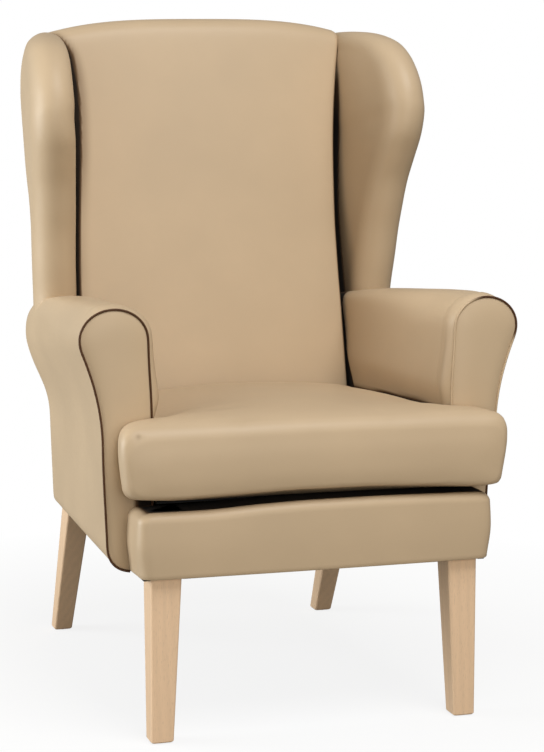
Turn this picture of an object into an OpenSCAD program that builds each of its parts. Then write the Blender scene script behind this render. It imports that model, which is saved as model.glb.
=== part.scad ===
// A high-backed fireside chair with wings, rolled arms and a loose seat cushion.
// Lengths are in millimetres. The chair faces -Y, +Z is up, and -X is the left side seen from the front.
// The construction is drawn with Y = 0 at the front of the seat base, and then centred on its own depth.

/* [Overall] */
// Height of the seat base above the floor
base_z = 247.5; // [225:0.5:265]
// Height of the top of the back above the floor, at its middle
back_top_z = 1089.5; // [1060:0.5:1120]
// Lean of the back from the vertical, in degrees
back_rake = 7.67; // [5:0.1:10]
// Distance from the front of the seat base to the foot of the outside back
base_depth = 650; // [600:1:690]
// Half the width between the arms
seat_half_w = 231; // [215:1:250]

/* [Seat base] */
// Height of the padded border under the cushion
border_h = 105; // [100:1:120]
// Distance from the front of the border to the arm facings
border_depth = 77; // [65:1:90]
// How far the border laps each arm facing
border_lap = 42; // [32:1:50]
// Radius of the border's front corners
border_corner_r = 20; // [12:1:30]

/* [Cushion] */
// Thickness of the cushion at the sides of its front edge
cushion_edge_h = 102; // [92:1:115]
// Rise of the cushion's top from its sides to its middle
cushion_crown = 22; // [12:1:30]
// How far the cushion's ears lap the arm facings
ear_lap = 70; // [60:1:78]
// How far the cushion stands in front of the border
cushion_overhang = 12; // [6:1:20]

/* [Arms] */
// Height of the middle of the arm roll above the seat base, at the front
roll_up = 347; // [330:1:365]
// Distance from the inner face of an arm to the middle of its roll, at the front
roll_out = 63; // [58:1:68]
// Half the width of the rolled top of an arm at the front
roll_half_w = 51.5; // [46:0.5:54]
// Half the height of the rolled top of an arm at the front
roll_half_h = 45.5; // [40:0.5:50]
// Drop of the arm roll from front to back
roll_drop = 34; // [20:1:45]

/* [Back and wings] */
// Distance from the foot of the outside back to the front of the inside back, at the cushion
pad_reach = 156; // [140:1:175]
// Half the width of the inside back at the cushion is the seat's less this gap at each side
pad_side_gap = 6; // [3:0.5:10]
// How far the top of the wings lies below the top of the back
wing_top_drop = 17; // [5:1:30]
// Reach of the wings in front of the outside back
wing_reach = 314; // [290:1:330]
// Half the thickness of a wing at its nose
wing_nose_r = 35; // [30:1:38]

/* [Legs] */
// Width and depth of a front leg at the top
front_leg_top = 47.5; // [42:0.5:52]
// Width and depth of a front leg at the floor
front_leg_foot = 34.5; // [28:0.5:38]
// Depth of a rear leg at the top
rear_leg_depth = 53; // [46:1:56]
// Width of a rear leg at the top
rear_leg_w = 40; // [36:1:42]
// Distance that a rear leg runs back on its way to the floor
rear_leg_sweep = 127; // [90:1:135]

/* [Hidden] */

// Colours
beige = [0.76, 0.67, 0.54];
dark_brown = [0.32, 0.22, 0.13];
beech = [0.88, 0.74, 0.58];
frame_wood = [0.80, 0.68, 0.48];
foam_cream = [0.93, 0.90, 0.78];
webbing_black = [0.12, 0.12, 0.12];
steel = [0.62, 0.63, 0.65];
zinc = [0.75, 0.72, 0.60];
glide_brown = [0.30, 0.24, 0.18];

// Shared clearances
seam = 0.3;
overrun = 5;
skin = 6;
pad_gap = 0.5;

// The outside back, with its height along its rake
panel_t = 8;
panel_h = (back_top_z - base_z - panel_t * sin(back_rake)) / cos(back_rake);
back_lap = 84;
back_half_w = seat_half_w + back_lap;
back_width_shares = [[0, 0.876], [0.436, 0.940], [0.51, 0.940], [0.595, 0.952], [0.662, 0.975],
    [0.833, 1], [0.882, 1], [0.955, 0.985]];
back_corner_r = 42;
back_arch = 24;

// The wooden frame
rail_t = 25;
rail_z0 = base_z + skin;
frame_h = 92;
rail_top_z = base_z + frame_h;
front_rail_y = 20;
front_rail_lap = 31;
front_rail_half_l = seat_half_w + front_rail_lap;
frame_setback = 7;
side_rail_x = seat_half_w + frame_setback;
post_w = 24;
post_d = 34;
post_setback = 5;
post_x = side_rail_x + post_setback;
post_drop = 63.5;
post_top = panel_h - post_drop;
back_rail_h = 45;
back_rail_t = 25;
lower_rail_up = 128;
webbing_t = 2;
webbing_w = 50;
webbing_pitch = 100;
stump_w = 35;
stump_d = 30;
stump_setback = 9;
stump_y = border_depth + stump_setback;
stump_up = 42;
stump_z0 = base_z + stump_up;
arm_rail_w = 40;
arm_rail_t = 22;
arm_rail_in = 13;
arm_rail_out = 24;
roll_x = seat_half_w + roll_out;
roll_z = base_z + roll_up;
arm_rail_front_x = roll_x - arm_rail_in;
arm_rail_rear_x = side_rail_x + arm_rail_out;
arm_rail_sink = 18;
arm_rail_drop = roll_drop / 2;
board_t = 15;
board_setback = 46;
board_back = 12;
board_turn = 5;

// Corner blocks and their screws
block_leg = 62;
block_h = 45;
block_screw_r = 2.2;
block_screw_head_r = 4.2;
block_screw_head_h = 2.6;
block_screw_l = 44;
block_screw_off = 38;
screw_gap = 0.1;

// The seat platform
spring_wire_r = 1.8;
spring_count = 4;
spring_pitch_x = 100;
spring_half_w = 22;
spring_pitch_y = 30;
spring_bend = 5;
clip_l = 16;
clip_w = 10;
clip_t = 1.6;
clip_gap = 0.2;
deck_t = 10;
deck_z = rail_top_z + 2 * spring_wire_r + 2 * clip_gap;
cushion_z = deck_z + deck_t + seam;
dust_t = 1.2;
dust_inset = 9.5;

// The border's rounding
border_top_r = 14;
border_foot_r = 3;
border_crown = 3;
border_waist = 7;

// The arm's section at the front, and what it becomes at the back
facing_t = 5;
pipe_r = 2;
pipe_proud = 1.5;
arm_front_y = border_depth + facing_t;
cushion_line_up = 228;
waist_out = 80.5;
waist_up = 187;
low_out = 75;
low_r = 34;
rear_roll_out = 47;
rear_roll_half = 43;
rear_waist_out = 49;
rear_low_out = 46;
rear_low_x = seat_half_w + rear_low_out;
rear_low_r = 8;
rear_tuck = 14;

// The wing's side view. Each row holds how far forward of the outside back the edge stands, as a
// share of wing_reach, and the heights of the edge and of its root, as shares of the wing's height
wing_foot_drop = 15;
wing_foot_z = roll_z - wing_foot_drop;
wing_top_z = back_top_z - wing_top_drop;
wing_edge_shares = [[0.509, 0, 0], [0.54, 0.087, 0.085], [0.60, 0.19, 0.18], [0.655, 0.29, 0.27],
    [0.72, 0.375, 0.345], [0.79, 0.4645, 0.42], [0.88, 0.548, 0.485], [0.962, 0.627, 0.545],
    [1, 0.71, 0.60], [0.985, 0.77, 0.64], [0.94, 0.825, 0.68], [0.835, 0.90, 0.73], [0.70, 0.95, 0.77],
    [0.54, 0.982, 0.80], [0.36, 0.998, 0.83], [0.17, 0.998, 0.855], [0, 0.99, 0.87]];
wing_nose_out = 75;
wing_nose_x = seat_half_w + wing_nose_out;
wing_hem = 8;
wing_tuck = 3;
wing_nose_x_shares = [[0, 0.925], [0.087, 0.93], [0.4645, 0.961], [0.71, 1], [0.82, 0.99],
    [0.90, 0.98], [0.955, 0.961], [1, 0.93]];
wing_nose_r_shares = [[0, 1], [0.71, 1], [0.82, 0.97], [0.90, 0.92], [0.955, 0.86], [1, 0.75]];

// The inside back
pad_half_w = seat_half_w - pad_side_gap;
pad_half_w_shares = [[0, 1], [0.53, 1], [0.614, 1.018], [0.76, 1.071], [0.893, 1.129], [1, 1.149]];
pad_front_low_y = base_depth - pad_reach;
pad_slope = 14.0;
pad_crown = 10;
pad_edge_r = 30;
pad_top_r = 24;
pad_corner_drop = 6;
pad_gap_w = 9;
pad_gap_shares = [[0, 1], [0.83, 1], [0.893, 0.04], [1, 0.04]];
pad_z0 = deck_z + deck_t + seam;

// The cushion's outline and rounding
cushion_half_w = seat_half_w + ear_lap;
cushion_back_gap = 3;
cushion_back_y = pad_front_low_y - cushion_back_gap;
cushion_front_r = 26;
cushion_back_r = 30;
cushion_side_rx = 34;
cushion_side_rz = 40;
ear_back_y = 71;
ear_taper = 12;
ear_r = 14;
ear_step = 1.5;
cushion_side_gap = 3;
cushion_waist_half_w = seat_half_w - cushion_side_gap;
cushion_long_crown = 15;
cushion_front_lift = 6;
foam_inset = 20;
foam_h = 74;
foam_up = 10;
foam_z = cushion_z + foam_up;
zip_half_l = 190;
zip_w = 24;
zip_t = 1.5;
zip_recess = 3.2;
zip_up = 52;
zip_z = cushion_z + zip_up;
slider_l = 9;
slider_h = 12;
slider_t = 2.4;

// Legs
front_leg_out = 1.75;
front_leg_x = seat_half_w + front_leg_out;
front_leg_y = 12;
front_foot_out = 6.75;
front_foot_y = 28.25;
rear_leg_out = 13;
rear_leg_x = seat_half_w + rear_leg_out;
rear_leg_ahead = 57.4;
rear_leg_y = base_depth - rear_leg_ahead;
rear_leg_foot = 32;
rear_foot_out = 3.5;
leg_edge_r = 4;
glide_r = 9;
glide_show = 1.5;
glide_pin_r = 1.5;
glide_pin_h = 12;
bolt_r = 4;
bolt_gap = 0.1;
bolt_up = 30;
bolt_down = 25;
nut_r = 6.5;
nut_h = 22;
front_bolt_out = 2;

// General helpers
function mix(a, b, t) = a + (b - a) * t;
function mean(ps) = [for (k = [0:2]) sum([for (p = ps) p[k]]) / len(ps)];
function sum(v, i = 0) = i < len(v) ? v[i] + sum(v, i + 1) : 0;
function reversed(v) = [for (i = [len(v) - 1:-1:0]) v[i]];
function bezier(a, b, c, d, t) =
    a * pow(1 - t, 3) + b * 3 * t * pow(1 - t, 2) + c * 3 * pow(t, 2) * (1 - t) + d * pow(t, 3);

// The raked plane of the outside back, and the face that the covers reach behind it
function rear_y(z) = base_depth + (z - base_z) * tan(back_rake);
function cover_rear_y(z) = rear_y(z) - (panel_t + seam) / cos(back_rake);

// Middle of the chair's depth, which goes to Y = 0
depth_mid = (base_depth + panel_h * sin(back_rake) - cushion_overhang) / 2;

module place() {
    translate([0, -depth_mid, 0]) children();
}

module sided(side) {
    if (side < 0) {
        mirror([1, 0, 0]) children();
    } else {
        children();
    }
}

// The frame of the back: its own Z runs up the rake from the foot of the outside back
module raked() {
    translate([0, base_depth, base_z]) rotate([-back_rake, 0, 0]) children();
}

// A block from its low corner to its high corner
module block(low, high) {
    translate(low) cube(high - low);
}

// A closed surface through rings of points, with a fan over each end
module loft(rings) {
    n = len(rings[0]);
    m = len(rings);
    points = concat([for (r = rings) each r], [mean(rings[0]), mean(rings[m - 1])]);
    walls = [for (i = [0:m - 2]) for (j = [0:n - 1])
        let (a = i * n + j, b = i * n + (j + 1) % n, c = a + n, d = b + n)
        each [[a, b, d], [a, d, c]]];
    ends = [for (j = [0:n - 1]) let (k = (j + 1) % n, e = (m - 1) * n)
        each [[m * n, k, j], [m * n + 1, e + j, e + k]]];
    polyhedron(points = points, faces = concat(walls, ends), convexity = 6);
}

// A tube of six sides along a path that keeps to one plane, with the plane's normal given
module wire(path, r, normal) {
    sides = 6;
    n = len(path);
    loft([for (i = [0:n - 1])
        let (q = path[min(n - 1, i + 1)] - path[max(0, i - 1)], across = cross(q, normal) / norm(q))
        [for (k = [0:sides - 1])
            path[i] - across * r * cos(360 * k / sides) - normal * r * sin(360 * k / sides)]]);
}

// Seat base border: rings of its plan, from the bottom up. Its back stays open on the frame
function border_plan(z, inset, back) =
    let (w = (seat_half_w + border_lap) - inset, r = border_corner_r, cx = w - border_waist - r,
        right = concat([[w, back], [w - 0.15 * border_waist, mix(back, r, 0.4)]],
            [for (a = [0:15:90]) [cx + (r + (a < 45 ? border_waist * 0.3 : 0) * cos(a)) * cos(a),
                inset + r - r * sin(a)]]))
    concat([for (p = right) [p[0], p[1], z]],
        [for (t = [0.6:-0.3:-0.6]) [cx * t, inset - border_crown * (1 - t * t), z]],
        [for (p = reversed(right)) [-p[0], p[1], z]]);

function border_rings(inset, back) =
    let (top = base_z + border_h - inset, foot = base_z + inset, r = border_top_r)
    concat([border_plan(foot, inset + border_foot_r, back), border_plan(foot + border_foot_r, inset, back)],
        [for (a = [0:22.5:90]) border_plan(top - r + r * sin(a), inset + r * (1 - cos(a)), back)]);

// Arm: its outline in a plane across the chair, drawn inwards by inset
function arm_outline(t, inset, tuck) =
    let (a = mix(roll_half_w, rear_roll_half, t) - inset, b = mix(roll_half_h, rear_roll_half, t) - inset,
        cx = seat_half_w + mix(roll_out, rear_roll_out, t) - tuck / 2, cz = roll_z - roll_drop * t,
        inner = seat_half_w + inset, foot = base_z + inset,
        low = seat_half_w + mix(low_out, rear_low_out, t) - inset - tuck / 3,
        r = mix(low_r, rear_low_r, t) - inset / 2,
        waist = seat_half_w + mix(waist_out, rear_waist_out, t) - inset - tuck / 3,
        line_z = base_z + cushion_line_up - roll_drop * t / 2, knee_z = base_z + waist_up - roll_drop * t,
        leave = -20, p = [cx + a * cos(leave), cz + b * sin(leave)], pull = b)
    concat(
        [[inner, foot]],
        [for (u = [0:0.25:0.76])
            bezier([inner, line_z], [inner, line_z + pull], [cx - a, cz - pull], [cx - a, cz], u)],
        [for (g = [180:-20:-1]) [cx + a * cos(g), cz + b * sin(g)]],
        [for (u = [0:0.2:0.81])
            bezier(p, p + [-0.38, -0.925] * pull, [waist, knee_z + 1.2 * pull], [waist, knee_z], u)],
        [[waist, knee_z], [mix(waist, low, 0.35), mix(knee_z, foot + r, 0.5)]],
        [for (g = [0:-22.5:-90]) [low - r + r * cos(g), foot + r + r * sin(g)]]);

arm_tuck_share = 0.12;
function arm_ring(t, inset, lead, past, shift = 0) =
    let (tuck = rear_tuck * (1 - sqrt(1 - pow(max(0, (t - 1 + arm_tuck_share) / arm_tuck_share), 2))))
    [for (p = reversed(arm_outline(t, inset, tuck)))
        [p[0], mix(arm_front_y - min(0, lead), cover_rear_y(p[1]) + min(0, past), t) + shift, p[1]]];

// The arm's whole form. Its ends move out by lead and past, or in where these are negative
module arm_form(inset = 0, lead = 0, past = 0) {
    loft(concat(
        lead > 0 ? [arm_ring(0, inset, lead, past, -lead)] : [],
        [for (t = [0, 0.25, 0.5, 0.75, 0.9, 0.96, 0.99, 1]) arm_ring(t, inset, lead, past)],
        past > 0 ? [arm_ring(1, inset, lead, past, past)] : []));
}

// Wing: sections that fan from the root line on the outside back to the rounded edge
wing_h = wing_top_z - wing_foot_z;
function wing_root_x(z) = pad_half_w * lookup((z - pad_z0) / (back_top_z - pad_z0), pad_half_w_shares)
    + pad_gap_w * lookup((z - pad_z0) / (back_top_z - pad_z0), pad_gap_shares);
function back_side_x(z) = back_half_w * lookup((z - base_z) / (back_top_z - base_z), back_width_shares);
function wing_edge(row) = let (z = wing_foot_z + row[1] * wing_h) [cover_rear_y(z) - row[0] * wing_reach, z];
function wing_root(row) = let (z = wing_foot_z + row[2] * wing_h) [cover_rear_y(z), z];

function wing_ring(row, inset, past) =
    let (e = wing_edge(row), q = wing_root(row), l = norm(e - q), d = (e - q) / l,
        r = wing_nose_r * lookup(row[1], wing_nose_r_shares) - inset,
        cx = wing_nose_x * lookup(row[1], wing_nose_x_shares),
        at = l - inset - r, inner = wing_root_x(q[1]) + inset, outer = back_side_x(q[1]) - inset,
        side = concat(past > 0 ? [[inner, -past]] : [], [[inner, 0], [mix(inner, cx - r, 0.5), at / 2]],
            [for (g = [180:-20:0]) [cx + r * cos(g), at + r * sin(g)]],
            [[mix(cx + r, outer, 0.3), mix(at, 0, 0.3)], [mix(cx + r, outer, 0.65), mix(at, 0, 0.65)],
                [outer, min(wing_hem, at / 3)], [outer - wing_tuck, 0]],
            past > 0 ? [[outer - wing_tuck, -past]] : []))
    [for (p = reversed(side)) [p[0], q[0] + d[0] * p[1], q[1] + d[1] * p[1]]];

module wing_form(inset = 0, past = 0) {
    last = len(wing_edge_shares) - 1;
    rings = [for (i = [0:last]) let (ring = wing_ring(wing_edge_shares[i], inset, past))
        i < last ? ring : [for (p = ring) p + [0, past, 0]]];
    loft(concat(past > 0 ? [[for (p = rings[0]) p - [0, 0, past]]] : [], rings));
}

// Inside back: sections across the thickness, from one side to the other
function pad_w(z) = pad_half_w * lookup((z - pad_z0) / (back_top_z - pad_z0), pad_half_w_shares);
function pad_front_y(z) = pad_front_low_y + (z - pad_z0) * tan(pad_slope);
function pad_section(u, inset, past) =
    let (edge = 0.88, off = max(0, (abs(u) - edge) / (1 - edge)),
        back_off = pad_edge_r * (1 - sqrt(1 - off * off)) - pad_crown * (1 - u * u) + inset,
        top = back_top_z - back_arch * u * u - inset - pad_corner_drop * off * off,
        foot = pad_z0 + inset, r = pad_top_r, knee = top - r, front = concat(
            [for (t = [0:0.2:1]) let (z = mix(foot, knee, t)) [pad_front_y(z) + back_off, z]],
            [for (a = [22.5:22.5:90]) let (z = knee + r * sin(a))
                [pad_front_y(knee) + back_off + (z - knee) * tan(pad_slope) + r * (1 - cos(a)), z]]))
    concat([for (p = front) [u * (pad_w(p[1]) - inset), p[0], p[1]]],
        [for (t = [1:-0.2:-0.01]) let (z = mix(foot, top, t))
            [u * (pad_w(z) - inset), cover_rear_y(z) + past, z]]);

pad_stations = [-1, -0.985, -0.94, -0.88, -0.6, -0.3, 0, 0.3, 0.6, 0.88, 0.94, 0.985, 1];

module pad_form(inset = 0, past = 0) {
    loft([for (u = pad_stations) pad_section(u, inset, past)]);
}

// Cushion: sections across its width, from its front to its back
function ear_w(y) = cushion_half_w - ear_taper * max(0, y - cushion_front_r) / (ear_back_y - cushion_front_r);
function cushion_section(y, w, off, lift) =
    let (rx = min(cushion_side_rx, w), low = cushion_z + off * 0.9 + lift,
        side_top = cushion_z + cushion_edge_h - off, mid = (low + side_top) / 2,
        rz = min(cushion_side_rz, 0.98 * (side_top - low) / 2), bow = y / cushion_back_y,
        rise = cushion_crown + cushion_long_crown * 4 * bow * (1 - bow) * (bow > 0 ? 1 : 0),
        right_top = [for (a = [0:22.5:90]) [w - rx + rx * cos(a), side_top - rz + rz * sin(a)]],
        top = [for (t = [0.66:-0.33:-0.67]) [(w - rx) * t, side_top]],
        right_low = [for (a = [-90:22.5:-1]) [w - rx + rx * cos(a), low + rz + rz * sin(a)]],
        half = concat([[0, low]], right_low, right_top),
        upper = concat(right_top, top, [for (p = reversed(right_top)) [-p[0], p[1]]]),
        lower = concat([for (p = reversed(right_low)) [-p[0], p[1]]], [[0, low]],
            right_low))
    [for (p = concat(upper, lower)) [p[0], y + max(0, bow) * tan(pad_slope) * (p[1] - zip_z),
        p[1] + (p[1] > mid ? rise * (1 - pow(p[0] / w, 2)) * (p[1] - mid) / (side_top - mid) : 0)]];

// How far a rounded end draws in at an angle on its way round, from its flat face on
function end_off(a, r) = r * (1 - sin(mix(end_face, 90, a / 90)));
end_face = 8;

cushion_rings = concat(
    [for (a = [0:22.5:90]) cushion_section(cushion_front_r * (1 - cos(a)) - cushion_overhang,
        cushion_half_w - end_off(a, cushion_front_r), end_off(a, cushion_front_r),
        cushion_front_lift * (1 - a / 90))],
    [for (y = [mix(cushion_front_r, ear_back_y, 0.4), ear_back_y - ear_r])
        cushion_section(y, ear_w(y), 0, 0)],
    [cushion_section(ear_back_y - ear_r * 0.3, ear_w(ear_back_y) - ear_r * 0.35, 0, 0),
        cushion_section(ear_back_y, ear_w(ear_back_y) - ear_r, 0, 0)],
    [for (y = concat([ear_back_y + ear_step],
        [for (t = [0.2:0.2:0.81]) mix(ear_back_y, cushion_back_y - cushion_back_r, t)]))
        cushion_section(y, cushion_waist_half_w, 0, 0)],
    [for (a = [90:-22.5:0]) cushion_section(cushion_back_y - cushion_back_r * (1 - cos(a)),
        cushion_waist_half_w - end_off(a, cushion_back_r), end_off(a, cushion_back_r), 0)]);

// The frame of the zip in the sloping back of the cushion
module zip_place() {
    translate([0, cushion_back_y, zip_z]) rotate([-pad_slope, 0, 0]) children();
}

// Wooden frame
module front_rail_body(grow = 0) {
    block([-front_rail_half_l - grow, front_rail_y - grow, rail_z0 - grow],
        [front_rail_half_l + grow, front_rail_y + rail_t + grow, rail_top_z + grow]);
}

module post_body(grow = 0) {
    raked() block([post_x - grow, -panel_t - post_d - grow, skin - grow],
        [post_x + post_w + grow, -panel_t + min(grow, seam), post_top + grow]);
}

module side_rail_body(grow = 0) {
    difference() {
        block([side_rail_x - grow, front_rail_y + rail_t, rail_z0 - grow],
            [side_rail_x + rail_t + grow, base_depth, rail_top_z + grow]);
        raked() block([0, -panel_t - post_d, -overrun], [back_half_w, base_depth, post_top]);
    }
}

module stump_body(grow = 0) {
    block([side_rail_x + rail_t - min(grow, 0), stump_y - grow, stump_z0 - grow],
        [side_rail_x + rail_t + stump_w + grow, stump_y + stump_d + grow,
            roll_z - arm_rail_sink - arm_rail_t / 2 + grow]);
}

module arm_rail_body(grow = 0) {
    run = base_depth - stump_y;
    turn = atan((arm_rail_front_x - arm_rail_rear_x) / run);
    drop = atan(arm_rail_drop / run);
    translate([arm_rail_front_x, stump_y, roll_z - arm_rail_sink - arm_rail_t / 2])
        rotate([-drop, 0, turn])
            block([-arm_rail_w / 2 - grow, -grow, -grow],
                [arm_rail_w / 2 + grow, base_depth, arm_rail_t + grow]);
}

module behind_posts() {
    raked() block([0, -panel_t - post_d, -overrun], [2 * back_half_w, base_depth, back_top_z]);
}

module rear_rail_body(grow = 0) {
    difference() {
        raked() block([-post_x - grow, -panel_t - post_d - grow, skin - grow],
            [post_x + grow, -panel_t - post_d + rail_t + grow, rail_top_z - base_z + 2 * rail_t]);
        block([-base_depth, 0, rail_top_z + grow], [base_depth, 2 * base_depth, back_top_z]);
    }
}

module back_rail_body(up, grow = 0) {
    raked() block([-post_x - grow, -panel_t - post_d - grow, up - grow],
        [post_x + grow, -panel_t - post_d + back_rail_t + grow, up + back_rail_h + grow]);
}

module corner_block_body(grow = 0) {
    translate([side_rail_x, front_rail_y + rail_t, rail_z0 - grow]) rotate([0, 0, 90])
        linear_extrude(block_h + 2 * grow)
            polygon([[0, 0], [block_leg + 3 * grow, 0], [0, block_leg + 3 * grow]]);
}

module board_outline(grow = 0) {
    rows = wing_edge_shares;
    back = board_back - 2 * grow;
    edge = [for (row = rows)
        let (e = wing_edge(row), q = wing_root(row), p = e - (e - q) / norm(e - q) * (board_setback - grow))
            [min(p[0], cover_rear_y(p[1]) - back), p[1]]];
    polygon(concat(edge, [for (row = [rows[len(rows) - 1], rows[0]]) wing_root(row) - [back, 0]]));
}

module board_body(grow = 0) {
    hinge = [post_x + post_w, rear_y(wing_foot_z), 0];
    translate(hinge) rotate([0, 0, board_turn]) translate([-grow, -hinge[1], 0])
        rotate([90, 0, 90]) linear_extrude(board_t + 2 * grow) board_outline(grow);
}

// Room that the covers and foam leave for one side's frame
module frame_room() {
    front_rail_body(pad_gap);
    side_rail_body(pad_gap);
    post_body(pad_gap);
    stump_body(pad_gap);
    arm_rail_body(pad_gap);
    board_body(pad_gap);
    rear_rail_body(pad_gap);
    back_rail_body(lower_rail_up, pad_gap);
    back_rail_body(post_top - back_rail_h, pad_gap);
    corner_block_body(pad_gap);
    block([front_leg_x - front_leg_top / 2 - pad_gap, front_leg_y - pad_gap, 0],
        [front_leg_x + front_leg_top / 2 + pad_gap, front_leg_y + front_leg_top + pad_gap,
            rail_z0 + pad_gap]);
    block([rear_leg_x - rear_leg_w / 2 - pad_gap, rear_leg_y - rear_leg_depth / 2 - pad_gap, 0],
        [rear_leg_x + rear_leg_w / 2 + pad_gap, rear_leg_y + rear_leg_depth / 2 + pad_gap + leg_slip,
            rail_z0 + pad_gap]);
}

// The narrow room between a post and the inner skins, which holds no foam
module beside_post() {
    raked() block([0, -panel_t - post_d - pad_gap, 0], [post_x, 0, post_top]);
}

// How far a rear leg runs back between the frame and the dust cover
leg_slip = rear_leg_sweep * (skin + 2 * dust_t) / base_z;

// Places of the leg bolts, front and rear
bolt_places = [[seat_half_w + front_bolt_out, front_rail_y + rail_t / 2],
    [side_rail_x + rail_t / 2, rear_leg_y]];

module bolt_holes(gap, up) {
    for (side = [-1, 1], p = bolt_places) {
        translate([side * p[0], p[1], rail_z0 - bolt_down - overrun])
            cylinder(r = bolt_r + gap, h = bolt_down + overrun + up + gap, $fn = 32);
    }
}

module nut_holes() {
    for (side = [-1, 1], p = bolt_places) {
        translate([side * p[0], p[1], rail_z0 - overrun])
            cylinder(r = nut_r + bolt_gap, h = nut_h + overrun + bolt_gap, $fn = 48);
    }
    bolt_holes(bolt_gap, bolt_up);
}

// Places of the block screws on one side: each starts at its block's slanted face
screw_span = block_leg - block_screw_off;
module block_screw_set(gap, mouth = 0) {
    for (k = [0, 1]) {
        z = rail_z0 + block_h * (k == 0 ? 0.3 : 0.7);
        start = [side_rail_x - (k == 0 ? block_screw_off : screw_span),
            front_rail_y + rail_t + (k == 0 ? screw_span : block_screw_off), z];
        translate(start) rotate(k == 0 ? [90, 0, 0] : [0, 90, 0]) {
            cylinder(r = block_screw_r + gap, h = block_screw_l + gap, $fn = 24);
            cylinder(r1 = block_screw_head_r + gap, r2 = block_screw_r + gap, h = block_screw_head_h + gap,
                $fn = 24);
            if (mouth > 0) {
                translate([0, 0, -mouth]) cylinder(r = block_screw_head_r + gap, h = mouth, $fn = 24);
            }
        }
    }
}

// Front legs: square, tapered on their inner and back faces, with rounded edges
module front_leg(side) {
    color(beech) place() sided(side) difference() {
        hull() {
            translate([front_leg_x, front_leg_y + front_leg_top / 2, rail_z0 - 1])
                rounded_plate(front_leg_top, front_leg_top);
            leg_foot(front_foot, front_leg_foot);
        }
        bolt_holes(bolt_gap, bolt_up);
        glide_hole(front_foot);
    }
}

// The four rounded edges of a leg at one height, and both heights of its rounded foot
module rounded_plate(w, d) {
    for (x = [-1, 1], y = [-1, 1]) {
        translate([x * (w / 2 - leg_edge_r), y * (d / 2 - leg_edge_r), 0])
            cylinder(r = leg_edge_r, h = 1, $fn = 24);
    }
}

module leg_foot(foot, w) {
    translate([foot[0], foot[1], glide_show]) {
        rounded_plate(w - leg_edge_r, w - leg_edge_r);
        translate([0, 0, leg_edge_r / 2]) rounded_plate(w, w);
    }
}

// Rear legs: the same, swept back to the floor
module rear_leg(side) {
    color(beech) place() sided(side) difference() {
        hull() {
            translate([rear_leg_x, rear_leg_y, rail_z0 - 1]) rounded_plate(rear_leg_w, rear_leg_depth);
            leg_foot(rear_foot, rear_leg_foot);
        }
        bolt_holes(bolt_gap, bolt_up);
        glide_hole(rear_foot);
    }
}

front_foot = [front_leg_x + front_foot_out, front_foot_y];
rear_foot = [rear_leg_x + rear_foot_out, rear_leg_y + rear_leg_sweep];

module glide_hole(foot) {
    translate([foot[0], foot[1], 0])
        cylinder(r = glide_pin_r + screw_gap, h = glide_show + glide_pin_h + screw_gap, $fn = 24);
}

module leg_glides() {
    color(glide_brown) place() for (side = [-1, 1], foot = [front_foot, rear_foot]) {
        sided(side) translate([foot[0], foot[1], 0]) {
            cylinder(r = glide_r, h = glide_show, $fn = 48);
            cylinder(r = glide_pin_r, h = glide_show + glide_pin_h, $fn = 24);
        }
    }
}

module leg_bolts() {
    color(steel) place() for (side = [-1, 1], p = bolt_places) {
        translate([side * p[0], p[1], rail_z0 - bolt_down])
            cylinder(r = bolt_r, h = bolt_down + bolt_up, $fn = 32);
    }
}

module insert_nuts() {
    color(zinc) place() for (side = [-1, 1], p = bolt_places) {
        translate([side * p[0], p[1], rail_z0]) difference() {
            cylinder(r = nut_r, h = nut_h, $fn = 48);
            translate([0, 0, -overrun]) cylinder(r = bolt_r + bolt_gap, h = nut_h + 2 * overrun, $fn = 32);
        }
    }
}

module front_seat_rail() {
    color(frame_wood) place() difference() {
        front_rail_body();
        nut_holes();
        for (side = [-1, 1]) sided(side) block_screw_set(screw_gap);
    }
}

module side_seat_rail(side) {
    color(frame_wood) place() sided(side) difference() {
        side_rail_body();
        nut_holes();
        block_screw_set(screw_gap);
    }
}

module rear_seat_rail() {
    color(frame_wood) place() rear_rail_body();
}

module corner_blocks() {
    color(frame_wood) place() for (side = [-1, 1]) {
        sided(side) difference() {
            corner_block_body();
            block_screw_set(screw_gap, overrun);
        }
    }
}

module block_screws() {
    color(steel) place() for (side = [-1, 1]) sided(side) block_screw_set(0);
}

module back_post(side) {
    color(frame_wood) place() sided(side) post_body();
}

module back_rail(up) {
    color(frame_wood) place() back_rail_body(up);
}

module back_webbing() {
    color(webbing_black) place() raked() for (x = [-1.5:1:1.5]) {
        block([x * webbing_pitch - webbing_w / 2, -panel_t - post_d - webbing_t, lower_rail_up + skin],
            [x * webbing_pitch + webbing_w / 2, -panel_t - post_d, post_top - skin]);
    }
}

// Seat springs: flat zigzags of wire from the front rail to the rear rail
spring_y0 = front_rail_y + rail_t / 2;
spring_y1 = rear_y(rail_top_z) - (panel_t + post_d) / cos(back_rake) + rail_t / 2;
spring_runs = 2 * round((spring_y1 - spring_y0) / spring_pitch_y / 2);
spring_step = (spring_y1 - spring_y0) / spring_runs;
function spring_path(x) = [for (k = [0:spring_runs]) let (y = spring_y0 + k * spring_step,
    dir = k % 2 == 0 ? 1 : -1, z = rail_top_z + spring_wire_r + clip_gap)
    each concat([[x - dir * spring_half_w, y, z], [x + dir * spring_half_w, y, z]],
        k < spring_runs ? [[x + dir * (spring_half_w + spring_bend), y + spring_step / 2, z]] : [])];

spring_xs = [for (k = [0:spring_count - 1]) (k - (spring_count - 1) / 2) * spring_pitch_x];

module seat_springs() {
    color(steel) place() for (x = spring_xs) wire(spring_path(x), spring_wire_r, [0, 0, 1]);
}

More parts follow.
